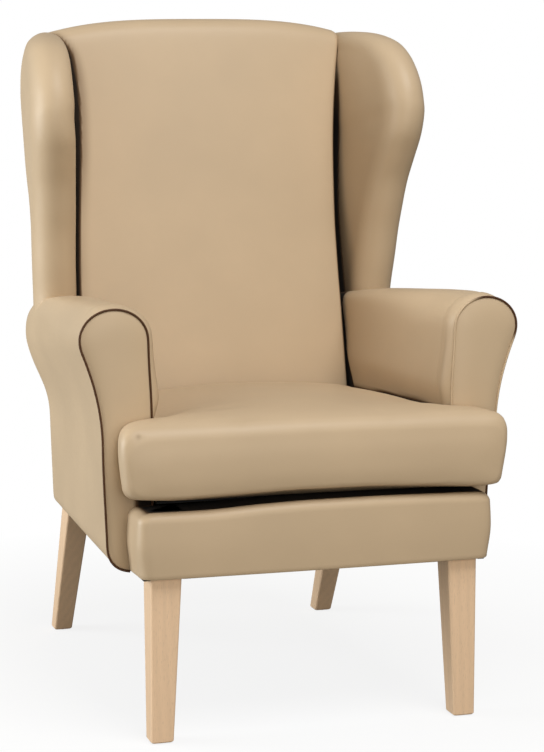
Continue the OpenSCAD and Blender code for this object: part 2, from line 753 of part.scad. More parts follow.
// Spring clips: saddles over the first and last runs of each spring
module spring_clips() {
    hole_r = spring_wire_r + clip_gap;
    color(zinc) place() for (x = spring_xs, y = [spring_y0, spring_y1]) {
        translate([x, y, rail_top_z]) difference() {
            block([-clip_l / 2, -clip_w / 2, 0], [clip_l / 2, clip_w / 2, 2 * hole_r + clip_t]);
            translate([0, 0, hole_r]) rotate([0, 90, 0])
                cylinder(r = hole_r, h = clip_l + overrun, center = true, $fn = 32);
            block([-clip_l, -hole_r, -overrun], [clip_l, hole_r, hole_r]);
        }
    }
}

module seat_deck() {
    color(webbing_black) place() block([-seat_half_w + seam, border_depth + seam, deck_z],
        [seat_half_w - seam, spring_y1 - clip_w, deck_z + deck_t]);
}

module dust_cover() {
    color(webbing_black) place() difference() {
        block([-rear_low_x + dust_inset, dust_inset, base_z - dust_t],
            [rear_low_x - dust_inset, base_depth - dust_inset, base_z]);
        for (side = [-1, 1]) sided(side) frame_room();
    }
}

module arm_stump(side) {
    color(frame_wood) place() sided(side) difference() {
        stump_body();
        arm_rail_body();
    }
}

module arm_rail(side) {
    color(frame_wood) place() sided(side) difference() {
        arm_rail_body();
        behind_posts();
    }
}

module wing_board(side) {
    color(frame_wood) place() sided(side) difference() {
        board_body();
        post_body();
        arm_rail_body();
    }
}

module arm_foam(side) {
    color(foam_cream) place() sided(side) difference() {
        arm_form(skin + 2 * seam, -seam, -skin - seam);
        frame_room();
        beside_post();
    }
}

module arm_cover(side) {
    color(beige) place() sided(side) difference() {
        arm_form();
        arm_form(skin, overrun, -skin);
        frame_room();
    }
}

// Arm facing: a padded board inside the run of piping
module arm_facing(side) {
    color(beige) place() sided(side) difference() {
        translate([0, arm_front_y - seam, 0]) rotate([90, 0, 0]) linear_extrude(facing_t - seam)
            polygon(arm_outline(0, 2 * pipe_r - pipe_proud + 2 * seam, 0));
        side_rail_body(pad_gap);
        corner_block_body(pad_gap);
    }
}

// Piping round an arm facing, from the cushion up over the roll and down to the border
module arm_piping(side) {
    outline = arm_outline(0, pipe_r - pipe_proud, 0);
    y = arm_front_y - seam - pipe_r;
    color(dark_brown) place() sided(side)
        wire([for (i = [0:len(outline) - 1]) i == 0 ? [outline[0][0], y, cushion_z + pipe_r]
            : [outline[i][0], y, outline[i][1]]], pipe_r, [0, 1, 0]);
}

module wing_foam(side) {
    color(foam_cream) place() sided(side) difference() {
        wing_form(skin + 2 * seam);
        frame_room();
        beside_post();
        translate([0, 0, seam]) arm_form(0, 0, seam);
    }
}

module wing_cover(side) {
    color(beige) place() sided(side) difference() {
        wing_form();
        wing_form(skin, overrun);
        frame_room();
        translate([0, 0, seam]) arm_form(0, 0, seam);
    }
}

// The hollow between the inside and outside back, up to the top rail
module back_hollow() {
    raked() block([-back_half_w, -panel_t - post_d - webbing_t - seam, -base_z],
        [back_half_w, panel_t, post_top + pad_gap]);
}

module back_foam() {
    color(foam_cream) place() difference() {
        pad_form(skin + 2 * seam);
        back_hollow();
    }
}

module inside_back_cover() {
    color(beige) place() difference() {
        pad_form();
        pad_form(skin, overrun);
        back_hollow();
    }
}

// Outside back: a padded board in the raked plane, with the outline of the wings and the arched top
module outside_back_panel() {
    knee = panel_h - back_arch - back_corner_r;
    side = [for (row = back_width_shares) if (row[0] * panel_h < knee)
        [back_half_w * row[1], row[0] * panel_h]];
    cx = back_half_w * lookup(knee / panel_h, back_width_shares) - back_corner_r;
    right = concat(side, [for (a = [0:15:90])
        [cx + back_corner_r * cos(a), knee + back_corner_r * sin(a) * (1 + 0.1 * sin(a))]],
        [for (t = [0.75:-0.25:0.01]) [cx * t, panel_h - back_arch * 0.8 * t * t]]);
    color(beige) place() raked() rotate([90, 0, 0]) linear_extrude(panel_t)
        polygon(concat(right, [[0, panel_h]], [for (p = reversed(right)) [-p[0], p[1]]]));
}

module border_well() {
    block([-side_rail_x, spring_y0 - clip_w, rail_z0 - skin - overrun],
        [side_rail_x, border_depth, base_z + border_h - skin]);
}

module border_foam() {
    color(foam_cream) place() difference() {
        loft(border_rings(skin + 2 * seam, border_depth - seam));
        for (side = [-1, 1]) sided(side) frame_room();
        border_well();
    }
}

module border_cover() {
    color(beige) place() difference() {
        loft(border_rings(0, border_depth - seam));
        loft(border_rings(skin, border_depth + overrun));
        for (side = [-1, 1]) sided(side) frame_room();
    }
}

// Cushion foam: a cut slab in the shape of a T
module foam_plan(grow) {
    ear = ear_w(ear_back_y) - foam_inset + grow;
    waist = cushion_waist_half_w - foam_inset + grow;
    front = foam_inset - cushion_overhang - grow;
    ear_y = ear_back_y - foam_inset + grow;
    back = cushion_back_y - foam_inset + grow;
    polygon([[-ear, front], [ear, front], [ear, ear_y], [waist, ear_y], [waist, back],
        [-waist, back], [-waist, ear_y], [-ear, ear_y]]);
}

module cushion_foam() {
    color(foam_cream) place() translate([0, 0, foam_z]) linear_extrude(foam_h) foam_plan(0);
}

module cushion_cover() {
    color(beige) place() difference() {
        loft(cushion_rings);
        translate([0, 0, foam_z - seam]) linear_extrude(foam_h + 2 * seam) foam_plan(seam);
        zip_place() block([-zip_half_l - seam, -zip_recess, -zip_w / 2 - seam],
            [zip_half_l + seam, overrun, zip_w / 2 + seam]);
    }
}

module cushion_zip() {
    color(dark_brown) place() zip_place() block([-zip_half_l, seam - zip_recess, -zip_w / 2],
        [zip_half_l, seam - zip_recess + zip_t, zip_w / 2]);
}

module zip_slider() {
    y = 2 * seam - zip_recess + zip_t;
    color(zinc) place() zip_place() block([-zip_half_l + seam, y, -slider_h / 2],
        [-zip_half_l + seam + slider_l, y + slider_t, slider_h / 2]);
}

front_leg(-1);  // front_leg_left
front_leg(1);  // front_leg_right
rear_leg(-1);  // rear_leg_left
rear_leg(1);  // rear_leg_right
leg_glides();
leg_bolts();
insert_nuts();
front_seat_rail();
rear_seat_rail();
side_seat_rail(-1);  // side_seat_rail_left
side_seat_rail(1);  // side_seat_rail_right
corner_blocks();
block_screws();
back_post(-1);  // back_post_left
back_post(1);  // back_post_right
back_rail(post_top - back_rail_h);  // back_top_rail
back_rail(lower_rail_up);  // back_lower_rail
back_webbing();
seat_springs();
spring_clips();
seat_deck();
dust_cover();
arm_stump(-1);  // arm_stump_left
arm_stump(1);  // arm_stump_right
arm_rail(-1);  // arm_rail_left
arm_rail(1);  // arm_rail_right
wing_board(-1);  // wing_board_left
wing_board(1);  // wing_board_right
arm_foam(-1);  // arm_foam_left
arm_foam(1);  // arm_foam_right
arm_cover(-1);  // arm_cover_left
arm_cover(1);  // arm_cover_right
arm_facing(-1);  // arm_facing_left
arm_facing(1);  // arm_facing_right
arm_piping(-1);  // arm_piping_left
arm_piping(1);  // arm_piping_right
wing_foam(-1);  // wing_foam_left
wing_foam(1);  // wing_foam_right
wing_cover(-1);  // wing_cover_left
wing_cover(1);  // wing_cover_right
back_foam();
inside_back_cover();
outside_back_panel();
border_foam();
border_cover();
cushion_foam();
cushion_cover();
cushion_zip();
zip_slider();
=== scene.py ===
"""A high-backed fireside chair: the finish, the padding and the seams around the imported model."""

import math

import bmesh
import bpy
from mathutils import Matrix, Vector


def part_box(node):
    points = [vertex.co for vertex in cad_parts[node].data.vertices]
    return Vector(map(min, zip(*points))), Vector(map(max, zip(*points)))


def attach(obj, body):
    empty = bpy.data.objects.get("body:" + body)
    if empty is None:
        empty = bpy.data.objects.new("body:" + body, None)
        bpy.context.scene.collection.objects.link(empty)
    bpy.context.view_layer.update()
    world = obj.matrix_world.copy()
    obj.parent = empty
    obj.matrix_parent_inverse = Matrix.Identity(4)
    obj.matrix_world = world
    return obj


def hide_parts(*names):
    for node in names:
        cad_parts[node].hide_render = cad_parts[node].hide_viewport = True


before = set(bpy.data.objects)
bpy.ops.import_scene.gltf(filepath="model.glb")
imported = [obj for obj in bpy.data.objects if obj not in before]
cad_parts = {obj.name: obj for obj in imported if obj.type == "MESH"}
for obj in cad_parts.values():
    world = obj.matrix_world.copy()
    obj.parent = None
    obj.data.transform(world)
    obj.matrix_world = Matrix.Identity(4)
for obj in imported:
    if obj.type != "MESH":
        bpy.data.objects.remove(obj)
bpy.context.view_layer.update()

bl_info = {
    "name": "Fireside chair",
    "version": (1, 0, 0),
    "blender": (4, 5, 0),
    "location": "View3D > Sidebar > Fireside chair",
    "description": "Dresses the frame of a high-backed fireside chair with its upholstery",
    "category": "Object",
}

# Lengths in the forms below are in millimetres, with Y = 0 at the front of the seat base.
MM = 0.001
CHAIR, CUSHION, SLIDER = "chair", "seat_cushion", "zip_slider"
SIDES = {"left": -1, "right": 1}

# Main sizes of the model, as its source has them
BASE_Z = 247.5
BACK_TOP_Z = 1089.5
RAKE = math.radians(7.67)
BASE_DEPTH = 650
DEPTH_MID = 375.625
SEAT_HALF_W = 231
PANEL_T = 8
SEAM = 0.3
BORDER_H = 105
BORDER_DEPTH = 77
CUSHION_Z = 353.8
CUSHION_HALF_W = 301
CUSHION_OVERHANG = 12
ROLL_Z = 594.5
ROLL_DROP = 50
PAD_FRONT_LOW_Y = 494
PAD_SLOPE = math.radians(14)
CUSHION_BACK_Y = 491


# ---------------------------------------------------------------- small maths

def mix(a, b, t):
    return a + (b - a) * t


def clamp(value, low=0.0, high=1.0):
    return max(low, min(high, value))


def ease(low, high, value):
    """0 below low, 1 above high and a smooth turn between them."""
    t = clamp((value - low) / (high - low))
    return t * t * (3 - 2 * t)


def lookup(value, rows, column=1):
    """A smooth curve through the rows of a table, level beyond its ends."""
    if value <= rows[0][0]:
        return rows[0][column]
    if value >= rows[-1][0]:
        return rows[-1][column]
    i = max(k for k in range(len(rows) - 1) if rows[k][0] <= value)
    a, b = rows[i], rows[i + 1]
    span = b[0] - a[0]
    slope = (b[column] - a[column]) / span

    def tangent(k):
        if k in (0, len(rows) - 1):
            return slope
        left = (rows[k][column] - rows[k - 1][column]) / (rows[k][0] - rows[k - 1][0])
        right = (rows[k + 1][column] - rows[k][column]) / (rows[k + 1][0] - rows[k][0])
        return 0 if left * right <= 0 else 2 * left * right / (left + right)

    t = (value - a[0]) / span
    return ((2 * t ** 3 - 3 * t ** 2 + 1) * a[column]
            + (t ** 3 - 2 * t ** 2 + t) * span * tangent(i)
            + (3 * t ** 2 - 2 * t ** 3) * b[column] + (t ** 3 - t ** 2) * span * tangent(i + 1))


def along_rows(rows, t):
    """The point at t, from 0 to 1, on a smooth curve through rows of numbers."""
    at = clamp(t) * (len(rows) - 1)
    i = min(int(at), len(rows) - 2)
    u = at - i
    p = [rows[clamp(k, 0, len(rows) - 1)] for k in (i - 1, i, i + 1, i + 2)]
    return [0.5 * (2 * b + (c - a) * u + (2 * a - 5 * b + 4 * c - d) * u ** 2
                   + (3 * b - a - 3 * c + d) * u ** 3) for a, b, c, d in zip(*p)]


def cubic(a, b, c, d, t):
    """The point at t on the curve from a to d that b and c draw towards them."""
    return [p * (1 - t) ** 3 + q * 3 * t * (1 - t) ** 2 + r * 3 * t * t * (1 - t) + s * t ** 3
            for p, q, r, s in zip(a, b, c, d)]


def even_steps(line, count):
    """The same line through count points at even steps."""
    run = [0]
    for p, q in zip(line, line[1:]):
        run.append(run[-1] + math.dist(p, q))
    out, i = [], 0
    for k in range(count):
        goal = run[-1] * k / (count - 1)
        while i < len(run) - 2 and run[i + 1] < goal:
            i += 1
        t = (goal - run[i]) / max(run[i + 1] - run[i], 1e-9)
        out.append([mix(a, b, t) for a, b in zip(line[i], line[i + 1])])
    return out


def softened(points, rounds):
    """The line with its corners eased by averaging each point with its neighbours."""
    last = len(points) - 1
    for _ in range(rounds):
        points = [p if k in (0, last)
                  else [(a + 2 * b + c) / 4 for a, b, c in zip(points[k - 1], p, points[k + 1])]
                  for k, p in enumerate(points)]
    return points


def rear_y(z):
    """The depth of the chair's raked rear face at a height."""
    return BASE_DEPTH + (z - BASE_Z) * math.tan(RAKE)


def cover_rear_y(z):
    """The depth where the covers end, in front of the outside back."""
    return rear_y(z) - (PANEL_T + SEAM) / math.cos(RAKE)


# ---------------------------------------------------------------- mesh making

# Points closer than this, in metres, become one
WELD = 2e-6


def placed(p):
    """A point of the forms in the shared frame."""
    return Vector((p[0], p[1] - DEPTH_MID, p[2])) * MM


def built(co):
    """A point of a mesh in the forms' own millimetres."""
    return co.x / MM, co.y / MM + DEPTH_MID, co.z / MM


def point_values(mesh, name, rule):
    """Writes rule(x, y, z), from 0 to 1, at every point of the mesh."""
    values = [clamp(rule(*built(v.co))) for v in mesh.vertices]
    mesh.attributes.new(name, "FLOAT", "POINT").data.foreach_set("value", values)


def finished(bm, name, material, body, sharp=40, replaces=(), painted_shade=None):
    """Turns a bmesh into a piece that rides on its body and takes its slot and finish."""
    bmesh.ops.recalc_face_normals(bm, faces=bm.faces)
    mesh = bpy.data.meshes.new(name)
    bm.to_mesh(mesh)
    bm.free()
    mesh.shade_smooth()
    mesh.set_sharp_from_angle(angle=math.radians(sharp))
    # If given, the rule marks where painted shade darkens the cover
    if painted_shade:
        point_values(mesh, "painted_shade", painted_shade)
    mesh.materials.append(material)
    piece = bpy.data.objects.new(name, mesh)
    bpy.context.scene.collection.objects.link(piece)
    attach(piece, body)
    if replaces:
        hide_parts(*replaces)
    return piece


def lofted(rings):
    """A closed skin over rings of points: a grid whose rows become the rings, welded where they
    close, and filled at both ends."""
    rows, columns = len(rings), len(rings[0])
    across = columns + 1
    bm = bmesh.new()
    bm.loops.layers.uv.new("around")
    bmesh.ops.create_grid(bm, x_segments=columns, y_segments=rows - 1, size=1, calc_uvs=True)
    bm.verts.ensure_lookup_table()
    for j, ring in enumerate(rings):
        for i in range(across):
            bm.verts[j * across + i].co = placed(ring[i % columns])
    bmesh.ops.remove_doubles(bm, verts=bm.verts, dist=WELD)
    bmesh.ops.dissolve_degenerate(bm, edges=bm.edges, dist=WELD / 2)
    edges = [e for e in bm.edges if e.is_boundary]
    ends = bmesh.ops.holes_fill(bm, edges=edges, sides=0)["faces"]
    bmesh.ops.triangulate(bm, faces=ends)
    return bm


# The cloth that fills the cushion: the grid of its even mesh, its mass and how long it swells
FILL_GRID = 0.0056
FILL_MASS = 0.3
FILL_QUALITY = 5
FILL_FRAMES = 20


def filled(bm, gap, cap, pressure):
    """The form of a bmesh filled like a sewn cover: remeshed evenly, drawn in all round by the gap
    and blown up as cloth, with no point moving more than the cap."""
    mesh = bpy.data.meshes.new("filling")
    bm.to_mesh(mesh)
    bm.free()
    work = bpy.data.objects.new("filling", mesh)
    scene = bpy.context.scene
    scene.collection.objects.link(work)
    even = work.modifiers.new("even", "REMESH")
    even.mode, even.voxel_size, even.use_smooth_shade = "VOXEL", FILL_GRID, True

    def current_form():
        depsgraph = bpy.context.evaluated_depsgraph_get()
        return bpy.data.meshes.new_from_object(work.evaluated_get(depsgraph))

    start = current_form()
    work.modifiers.clear()
    before = [v.co - v.normal * gap for v in start.vertices]
    start.vertices.foreach_set("co", [c for p in before for c in p])
    work.data = start
    cloth = work.modifiers.new("fill", "CLOTH")
    cloth.settings.quality = FILL_QUALITY
    cloth.settings.mass = FILL_MASS
    cloth.settings.use_pressure = True
    cloth.settings.uniform_pressure_force = pressure
    cloth.settings.effector_weights.gravity = 0
    cloth.point_cache.frame_start, cloth.point_cache.frame_end = 1, FILL_FRAMES
    for frame_number in range(1, FILL_FRAMES + 1):
        scene.frame_set(frame_number)
    after = current_form()
    moved = [b.co - a for a, b in zip(before, after.vertices)]
    scene.frame_set(1)
    work.modifiers.clear()
    out = bmesh.new()
    out.from_mesh(start)
    for v, a, d in zip(out.verts, before, moved):
        v.co = a + d * min(1, cap / max(d.length, 1e-9))
    bmesh.ops.smooth_vert(out, verts=out.verts, factor=0.5, use_axis_x=True, use_axis_y=True,
                          use_axis_z=True)
    bpy.data.objects.remove(work)
    return out


# ---------------------------------------------------------------- shader writing

class Socket:
    """A value in a material, which sums with other values and plain numbers."""

    def __init__(self, shader, socket):
        self.shader, self.socket = shader, socket

    def _math(self, operation, *values):
        return self.shader.node("ShaderNodeMath", {"operation": operation}, dict(enumerate(values)))

    def __add__(self, other):
        return self._math("ADD", self, other)

    def __sub__(self, other):
        return self._math("SUBTRACT", self, other)

    def __mul__(self, other):
        return self._math("MULTIPLY", self, other)

    def clamped(self, low, high):
        """0 at low, 1 at high and straight between them."""
        return self.shader.node("ShaderNodeMapRange", {"clamp": True},
                                {"Value": self, "From Min": low, "From Max": high}, "Result")


class Shader:
    """One material and its nodes."""

    def __init__(self, name):
        self.material = bpy.data.materials.new(name)
        self.material.use_nodes = True
        self.tree = self.material.node_tree
        self.surface = self.tree.nodes["Principled BSDF"]

    def node(self, kind, settings=None, inputs=None, output=0):
        made = self.tree.nodes.new(kind)
        for key, value in (settings or {}).items():
            setattr(made, key, value)
        for key, value in (inputs or {}).items():
            self.put(made.inputs[key], value)
        return Socket(self, made.outputs[output])

    def put(self, target, value):
        if isinstance(value, Socket):
            self.tree.links.new(value.socket, target)
        elif target.type == "RGBA" and len(value) == 3:
            target.default_value = (*value, 1)
        else:
            target.default_value = value

    def set(self, **inputs):
        """Feeds the surface: base_color=..., roughness=... and so on."""
        for key, value in inputs.items():
            label = key.replace("_", " ").title().replace("Ior", "IOR")
            self.put(self.surface.inputs[label], value)

    def place(self, scale=(1, 1, 1)):
        where = self.node("ShaderNodeTexCoord", output="Object")
        return self.node("ShaderNodeMapping", {}, {"Vector": where, "Scale": scale})

    def noise(self, where, scale, detail=3.0, rough=0.55):
        return self.node("ShaderNodeTexNoise", {}, {"Vector": where, "Scale": scale,
                                                    "Detail": detail, "Roughness": rough}, "Fac")

    def blend(self, share, first, second):
        return self.node("ShaderNodeMix", {"data_type": "RGBA"},
                         {"Factor": share, 6: first, 7: second}, 2)

    def attribute(self, name):
        return self.node("ShaderNodeAttribute", {"attribute_name": name}, output="Fac")

    def bump(self, height, strength, distance, under=None):
        inputs = {"Height": height, "Strength": strength, "Distance": distance}
        if under is not None:
            inputs["Normal"] = under
        return self.node("ShaderNodeBump", {}, inputs)


def shade(colour, amount):
    """The colour made lighter or darker."""
    return tuple(clamp(c * amount) for c in colour)


# Painted shade in gaps and creases is brown where it starts and black where it is deep
PAINTED_SHADE_BROWN, PAINTED_SHADE_BLACK = (0.13, 0.070, 0.030), (0.012, 0.007, 0.004)


def coated_cloth(name, colour, roughness):
    """Smooth coated upholstery cloth: fine pressed grain, a soft sheen and painted shade in gaps
    and creases.
    """
    s = Shader(name)
    where = s.place()
    patches = s.noise(where, 7, 2).clamped(0.3, 0.7)
    fine = s.noise(where, 55, 3).clamped(0.25, 0.75)
    tone = s.blend(patches, shade(colour, 0.965), shade(colour, 1.03))
    tone = s.blend(fine * 0.35, tone, shade(colour, 0.97))
    # Painted shade from the point attribute: brown, then near black where deepest, and rougher
    # there
    painted_shade = s.attribute("painted_shade")
    tone = s.blend(painted_shade.clamped(0, 0.55), tone, PAINTED_SHADE_BROWN)
    tone = s.blend(painted_shade.clamped(0.45, 1), tone, PAINTED_SHADE_BLACK)
    cells = s.node("ShaderNodeTexVoronoi", {"feature": "SMOOTH_F1"},
                   {"Vector": where, "Scale": 620, "Smoothness": 0.6, "Randomness": 1.0},
                   "Distance")
    pores = s.noise(where, 1500, 2)
    lie = s.noise(where, 14, 2)
    grain = s.bump(cells * 0.8 + pores * 0.2, 0.16, 0.0004)
    skin = s.bump(lie, 0.05, 0.01, grain)
    rough = patches * 0.05 + cells * 0.06 + (roughness - 0.03)
    s.set(base_color=tone, roughness=(rough + painted_shade * 0.6).clamped(0, 1), normal=skin,
          specular_ior_level=0.36)
    return s.material


def piping_cloth(name, colour, field):
    """Dark piping, which takes the colour of the cover along part of the right arm."""
    s = Shader(name)
    where = s.place()
    fine = s.noise(where, 320, 3).clamped(0.3, 0.7)
    dark = s.blend(fine, shade(colour, 0.85), shade(colour, 1.2))
    tone = s.blend(s.attribute("cover_toned"), dark, field)
    cells = s.noise(where, 1400, 2)
    s.set(base_color=tone, roughness=fine * 0.08 + 0.55, normal=s.bump(cells, 0.2, 0.0003),
          specular_ior_level=0.25)
    return s.material


def grained_wood(name, pale, dark, along, finish, pores=1.0):
    """Wood with its grain along one axis: long streaks, growth rings and short flecks."""
    s = Shader(name)
    stretch = [1.0, 1.0, 1.0]
    stretch[along] = 0.045
    where = s.place(tuple(stretch))
    wander = s.noise(s.place(tuple(0.4 * k for k in stretch)), 9, 2)
    rings = s.node("ShaderNodeTexWave", {"wave_type": "BANDS", "bands_direction": "DIAGONAL",
                                         "wave_profile": "SIN"},
                   {"Vector": where, "Scale": 42, "Distortion": wander * 7, "Detail": 2,
                    "Detail Scale": 1.6}, "Fac")
    streaks = s.noise(where, 190, 4, 0.6).clamped(0.3, 0.75)
    fleck = list(stretch)
    fleck[along] = 0.13
    flecks = s.noise(s.place(tuple(fleck)), 820, 2).clamped(0.56, 0.72)
    broad = s.noise(s.place(tuple(stretch)), 14, 2).clamped(0.3, 0.7)
    tone = s.blend(rings * 0.35 + streaks * 0.35, pale, dark)
    tone = s.blend(broad * 0.3, tone, shade(pale, 1.04))
    tone = s.blend(flecks * (0.32 * pores), tone, shade(dark, 0.72))
    s.set(base_color=tone, roughness=streaks * 0.1 + flecks * 0.1 + finish,
          normal=s.bump(streaks * 0.5 - flecks * 0.7, 0.12, 0.0004))
    return s.material


def woven_cloth(name, colour, pitch, strength=0.5):
    """A plain weave: two sets of ribs that cross."""
    s = Shader(name)
    where = s.place()

    def ribs(axis):
        return s.node("ShaderNodeTexWave", {"wave_type": "BANDS", "bands_direction": axis},
                      {"Vector": where, "Scale": 1 / pitch / math.tau * math.pi, "Distortion": 0.4,
                       "Detail": 1.0, "Detail Scale": 2.0}, "Fac")

    weave = ribs("X") * ribs("Y")
    fluff = s.noise(where, 600, 3)
    tone = s.blend(weave * 0.5 + fluff * 0.3, shade(colour, 0.6), shade(colour, 1.9))
    s.set(base_color=tone, roughness=fluff * 0.1 + 0.85 - 0.05,
          normal=s.bump(weave + fluff * 0.3, strength, 0.0006))
    return s.material


def bright_metal(name, colour, rough):
    """Metal with faint drawn streaks and a cloudy tone."""
    s = Shader(name)
    where = s.place()
    drawn = s.noise(s.place((1, 1, 0.1)), 180, 3)
    cloud = s.noise(where, 30, 3).clamped(0.3, 0.7)
    tone = s.blend(cloud, shade(colour, 0.85), shade(colour, 1.1))
    s.set(base_color=tone, metallic=1.0, roughness=drawn * 0.2 + cloud * 0.08 + rough,
          normal=s.bump(drawn, 0.08, 0.0003))
    return s.material


def moulded_plastic(name, colour):
    """Plastic with a fine matt skin."""
    s = Shader(name)
    fine = s.noise(s.place(), 900, 3)
    tone = s.blend(fine, shade(colour, 0.8), shade(colour, 1.25))
    s.set(base_color=tone, roughness=fine * 0.12 + 0.45, normal=s.bump(fine, 0.15, 0.0004))
    return s.material


# ---------------------------------------------------------------- sizes and colours

def length_field(name, description, default, low, high):
    return bpy.props.FloatProperty(name=name, description=description, default=default, min=low,
                                   max=high, unit="LENGTH", precision=4)


def colour_field(name, description, default):
    return bpy.props.FloatVectorProperty(name=name, description=description, default=default,
                                         size=3, min=0, max=1, subtype="COLOR")


class ChairSizes(bpy.types.PropertyGroup):
    piping: length_field("Piping", "Radius of the piping", 0.0017, 0.001, 0.003)
    front_crown: length_field("Arm front crown", "How far the arm fronts swell", 0.006, 0, 0.01)
    cap: length_field("Swell", "How far a point of the cushion may move while it fills", 0.0035,
                      0.002, 0.03)
    start_gap: length_field("Slack", "How much smaller the cushion starts, all round", 0.0018,
                            0, 0.02)
    pressure: bpy.props.FloatProperty(name="Pressure", default=4.0, min=0, max=20,
                                      description="Pressure that fills the cushion")


class ChairColours(bpy.types.PropertyGroup):
    cover: colour_field("Cover", "Colour of the upholstery", (0.555, 0.417, 0.270))
    piping: colour_field("Piping", "Colour of the piping", (0.075, 0.031, 0.012))
    beech: colour_field("Beech", "Colour of the legs", (0.86, 0.61, 0.40))
    frame_wood: colour_field("Frame", "Colour of the hidden frame", (0.55, 0.40, 0.24))


def sizes():
    return bpy.context.scene.chair_sizes


def colours():
    return bpy.context.scene.chair_colours


COVER_ROUGHNESS = 0.44


def cover_cloth():
    """The one material that all the upholstery shares."""
    made = bpy.data.materials.get("coated_cloth")
    return made or coated_cloth("coated_cloth", tuple(colours().cover), COVER_ROUGHNESS)


# ---------------------------------------------------------------- the forms

# The padding stands a little higher on the right than on the left, more so towards the top
LEAN = 0.02


def height_share(z):
    """How far up the padding a height is, from 0 at the seat base to 1 at the top."""
    return clamp((z - BASE_Z) / (BACK_TOP_Z - BASE_Z))


def on_side(rings, side):
    """Rings of the right side, put on either side with the lean of the whole. On the right the
    foot of the arm is a little slimmer."""
    def put(x, y, z):
        slim = 0
        if side > 0 and y < 400:
            slim = 9 * ease(250, 300, x) * ease(BASE_Z + 160, BASE_Z + 110, z)
        return [side * (x - slim), y, z + LEAN * side * x * height_share(z)]
    return [[put(*p) for p in ring] for ring in rings]


def turn(cx, cz, rx, rz, start, stop, step, square=2):
    """Points on an arc, with angles in degrees. A higher square makes it boxier."""
    count = max(1, round(abs(stop - start) / step))
    points = []
    for k in range(count + 1):
        a = math.radians(mix(start, stop, k / count))
        c, s = (math.copysign(abs(v) ** (2 / square), v) for v in (math.cos(a), math.sin(a)))
        points.append([cx + rx * c, cz + rz * s])
    return points


# The arm's section, each pair at its front and at its rear: half the roll's width and height, how
# far out of the seat's side the roll's centre, the foot and the waist are, and the foot's rounding
ROLL_HALF_W, ROLL_HALF_H, ROLL_OUT = (51.5, 41), (45.5, 56), (63, 42)
FOOT_OUT, WAIST_OUT, FOOT_R = (75, 44.5), (80.5, 45.5), (34, 8)
# How high above the seat base the inner wall turns into the roll, and the waist is, and how much
# lower each is at the rear
NECK_UP, NECK_DROP, WAIST_UP, WAIST_DROP = 228, 17, 187, 34
# How far the inner wall starts outwards at its front, and over what share of the way back
FLARE, FLARE_SHARE = 7, 0.036


# In the arm's functions t runs from 0 at the facing to 1 at the outside back

def roll_centre(t):
    """Where the centre of the roll is, across and in height."""
    return SEAT_HALF_W + mix(*ROLL_OUT, t), ROLL_Z - ROLL_DROP * t


def arm_outline(t, inset):
    """The arm's outline at t on its way back: from the foot of its inner face, over the roll and
    down its outer side, round to the flat bottom."""
    a, b = mix(*ROLL_HALF_W, t) - inset, mix(*ROLL_HALF_H, t) - inset
    cx, cz = roll_centre(t)
    flare = FLARE * (1 - min(1, t / FLARE_SHARE)) ** 2
    inner, foot = SEAT_HALF_W + flare + inset, BASE_Z + inset
    low = SEAT_HALF_W + mix(*FOOT_OUT, t) - inset
    r = mix(*FOOT_R, t) - inset / 2
    waist = SEAT_HALF_W + mix(*WAIST_OUT, t) - inset
    line_z, knee_z = BASE_Z + NECK_UP - NECK_DROP * t, BASE_Z + WAIST_UP - WAIST_DROP * t
    leave = math.radians(-20)
    p = [cx + a * math.cos(leave), cz + b * math.sin(leave)]
    wall = [[inner, mix(foot, line_z, k / 20)] for k in range(20)]
    neck = [cubic([inner, line_z], [inner, line_z + b], [cx - a, cz - b], [cx - a, cz], k / 16)
            for k in range(16)]
    roll = turn(cx, cz, a, b, 180, 90, 5, mix(2, 9, ease(0.15, 0.8, t)))
    shoulder = mix(2, 3.6, ease(0.3, 0.75, t)) - 1.2 * ease(0.8, 1, t)
    roll += turn(cx, cz, a, b, 90, 0, 5, shoulder)[1:] + turn(cx, cz, a, b, 0, -20, 5)[1:-1]
    side = [cubic(p, [p[0] - mix(0.38, 0.25, t) * b, p[1] - mix(0.925, 1, t) * b],
                  [waist, knee_z + mix(1.2, 1, t) * b], [waist, knee_z], k / 16) for k in range(16)]
    corner = [low - r, foot + r]
    end = [corner[0] + r, corner[1]]
    skirt = [cubic([waist, knee_z], [waist, knee_z - 45],
                   [mix(waist, end[0], 0.75), end[1] + 50], end, k / 12) for k in range(12)]
    line = even_steps(wall + neck + roll + side + skirt + turn(*corner, r, r, 0, -90, 10), 260)
    return even_steps(softened(line, 8), 150)


# How far the padding swells past the arm's outline on its top and on its inner face, by depth
ARM_SWELL = [(77, 0, 0), (82, 3.5, 3.2), (89, 6, 5.6), (97, 7.2, 7), (106, 7, 6.9),
             (112, 6.8, 5.9), (120, 8, 6.4), (145, 9, 7.5), (170, 9.5, 7.6), (220, 10, 7.5),
             (320, 9.5, 7), (450, 8.5, 4.5), (570, 4, 1), (690, 0, 0)]


def swollen(p, t, y, side):
    """A point of the arm's outline moved out by the swell of its padding."""
    cx, cz = roll_centre(t)
    dx, dz = p[0] - cx, p[1] - cz
    top, inside = lookup(y, ARM_SWELL), lookup(y, ARM_SWELL, 2)
    if side < 0:
        inside *= 1.6
        top += 4.5 * ease(300, 480, y) * ease(700, 640, y)
    if dz < 0:
        return p if dx > 0 else [p[0] - inside * ease(BASE_Z + 216, BASE_Z + 262, p[1]), p[1]]
    run = math.hypot(dx, dz)
    across = dx / run
    fade = ease(0.35, 1, across) if side < 0 else ease(0, 0.85, across)
    amount = mix(top, 0, fade) if across > 0 else mix(top, inside, across * across)
    return [p[0] + across * amount, p[1] + dz / run * amount]


def flat_bottom(outline, count):
    """The points of the bottom, from the end of the outline back to its start."""
    a, b = outline[-1], outline[0]
    return [[mix(a[0], b[0], k / count), mix(a[1], b[1], k / count)] for k in range(1, count)]


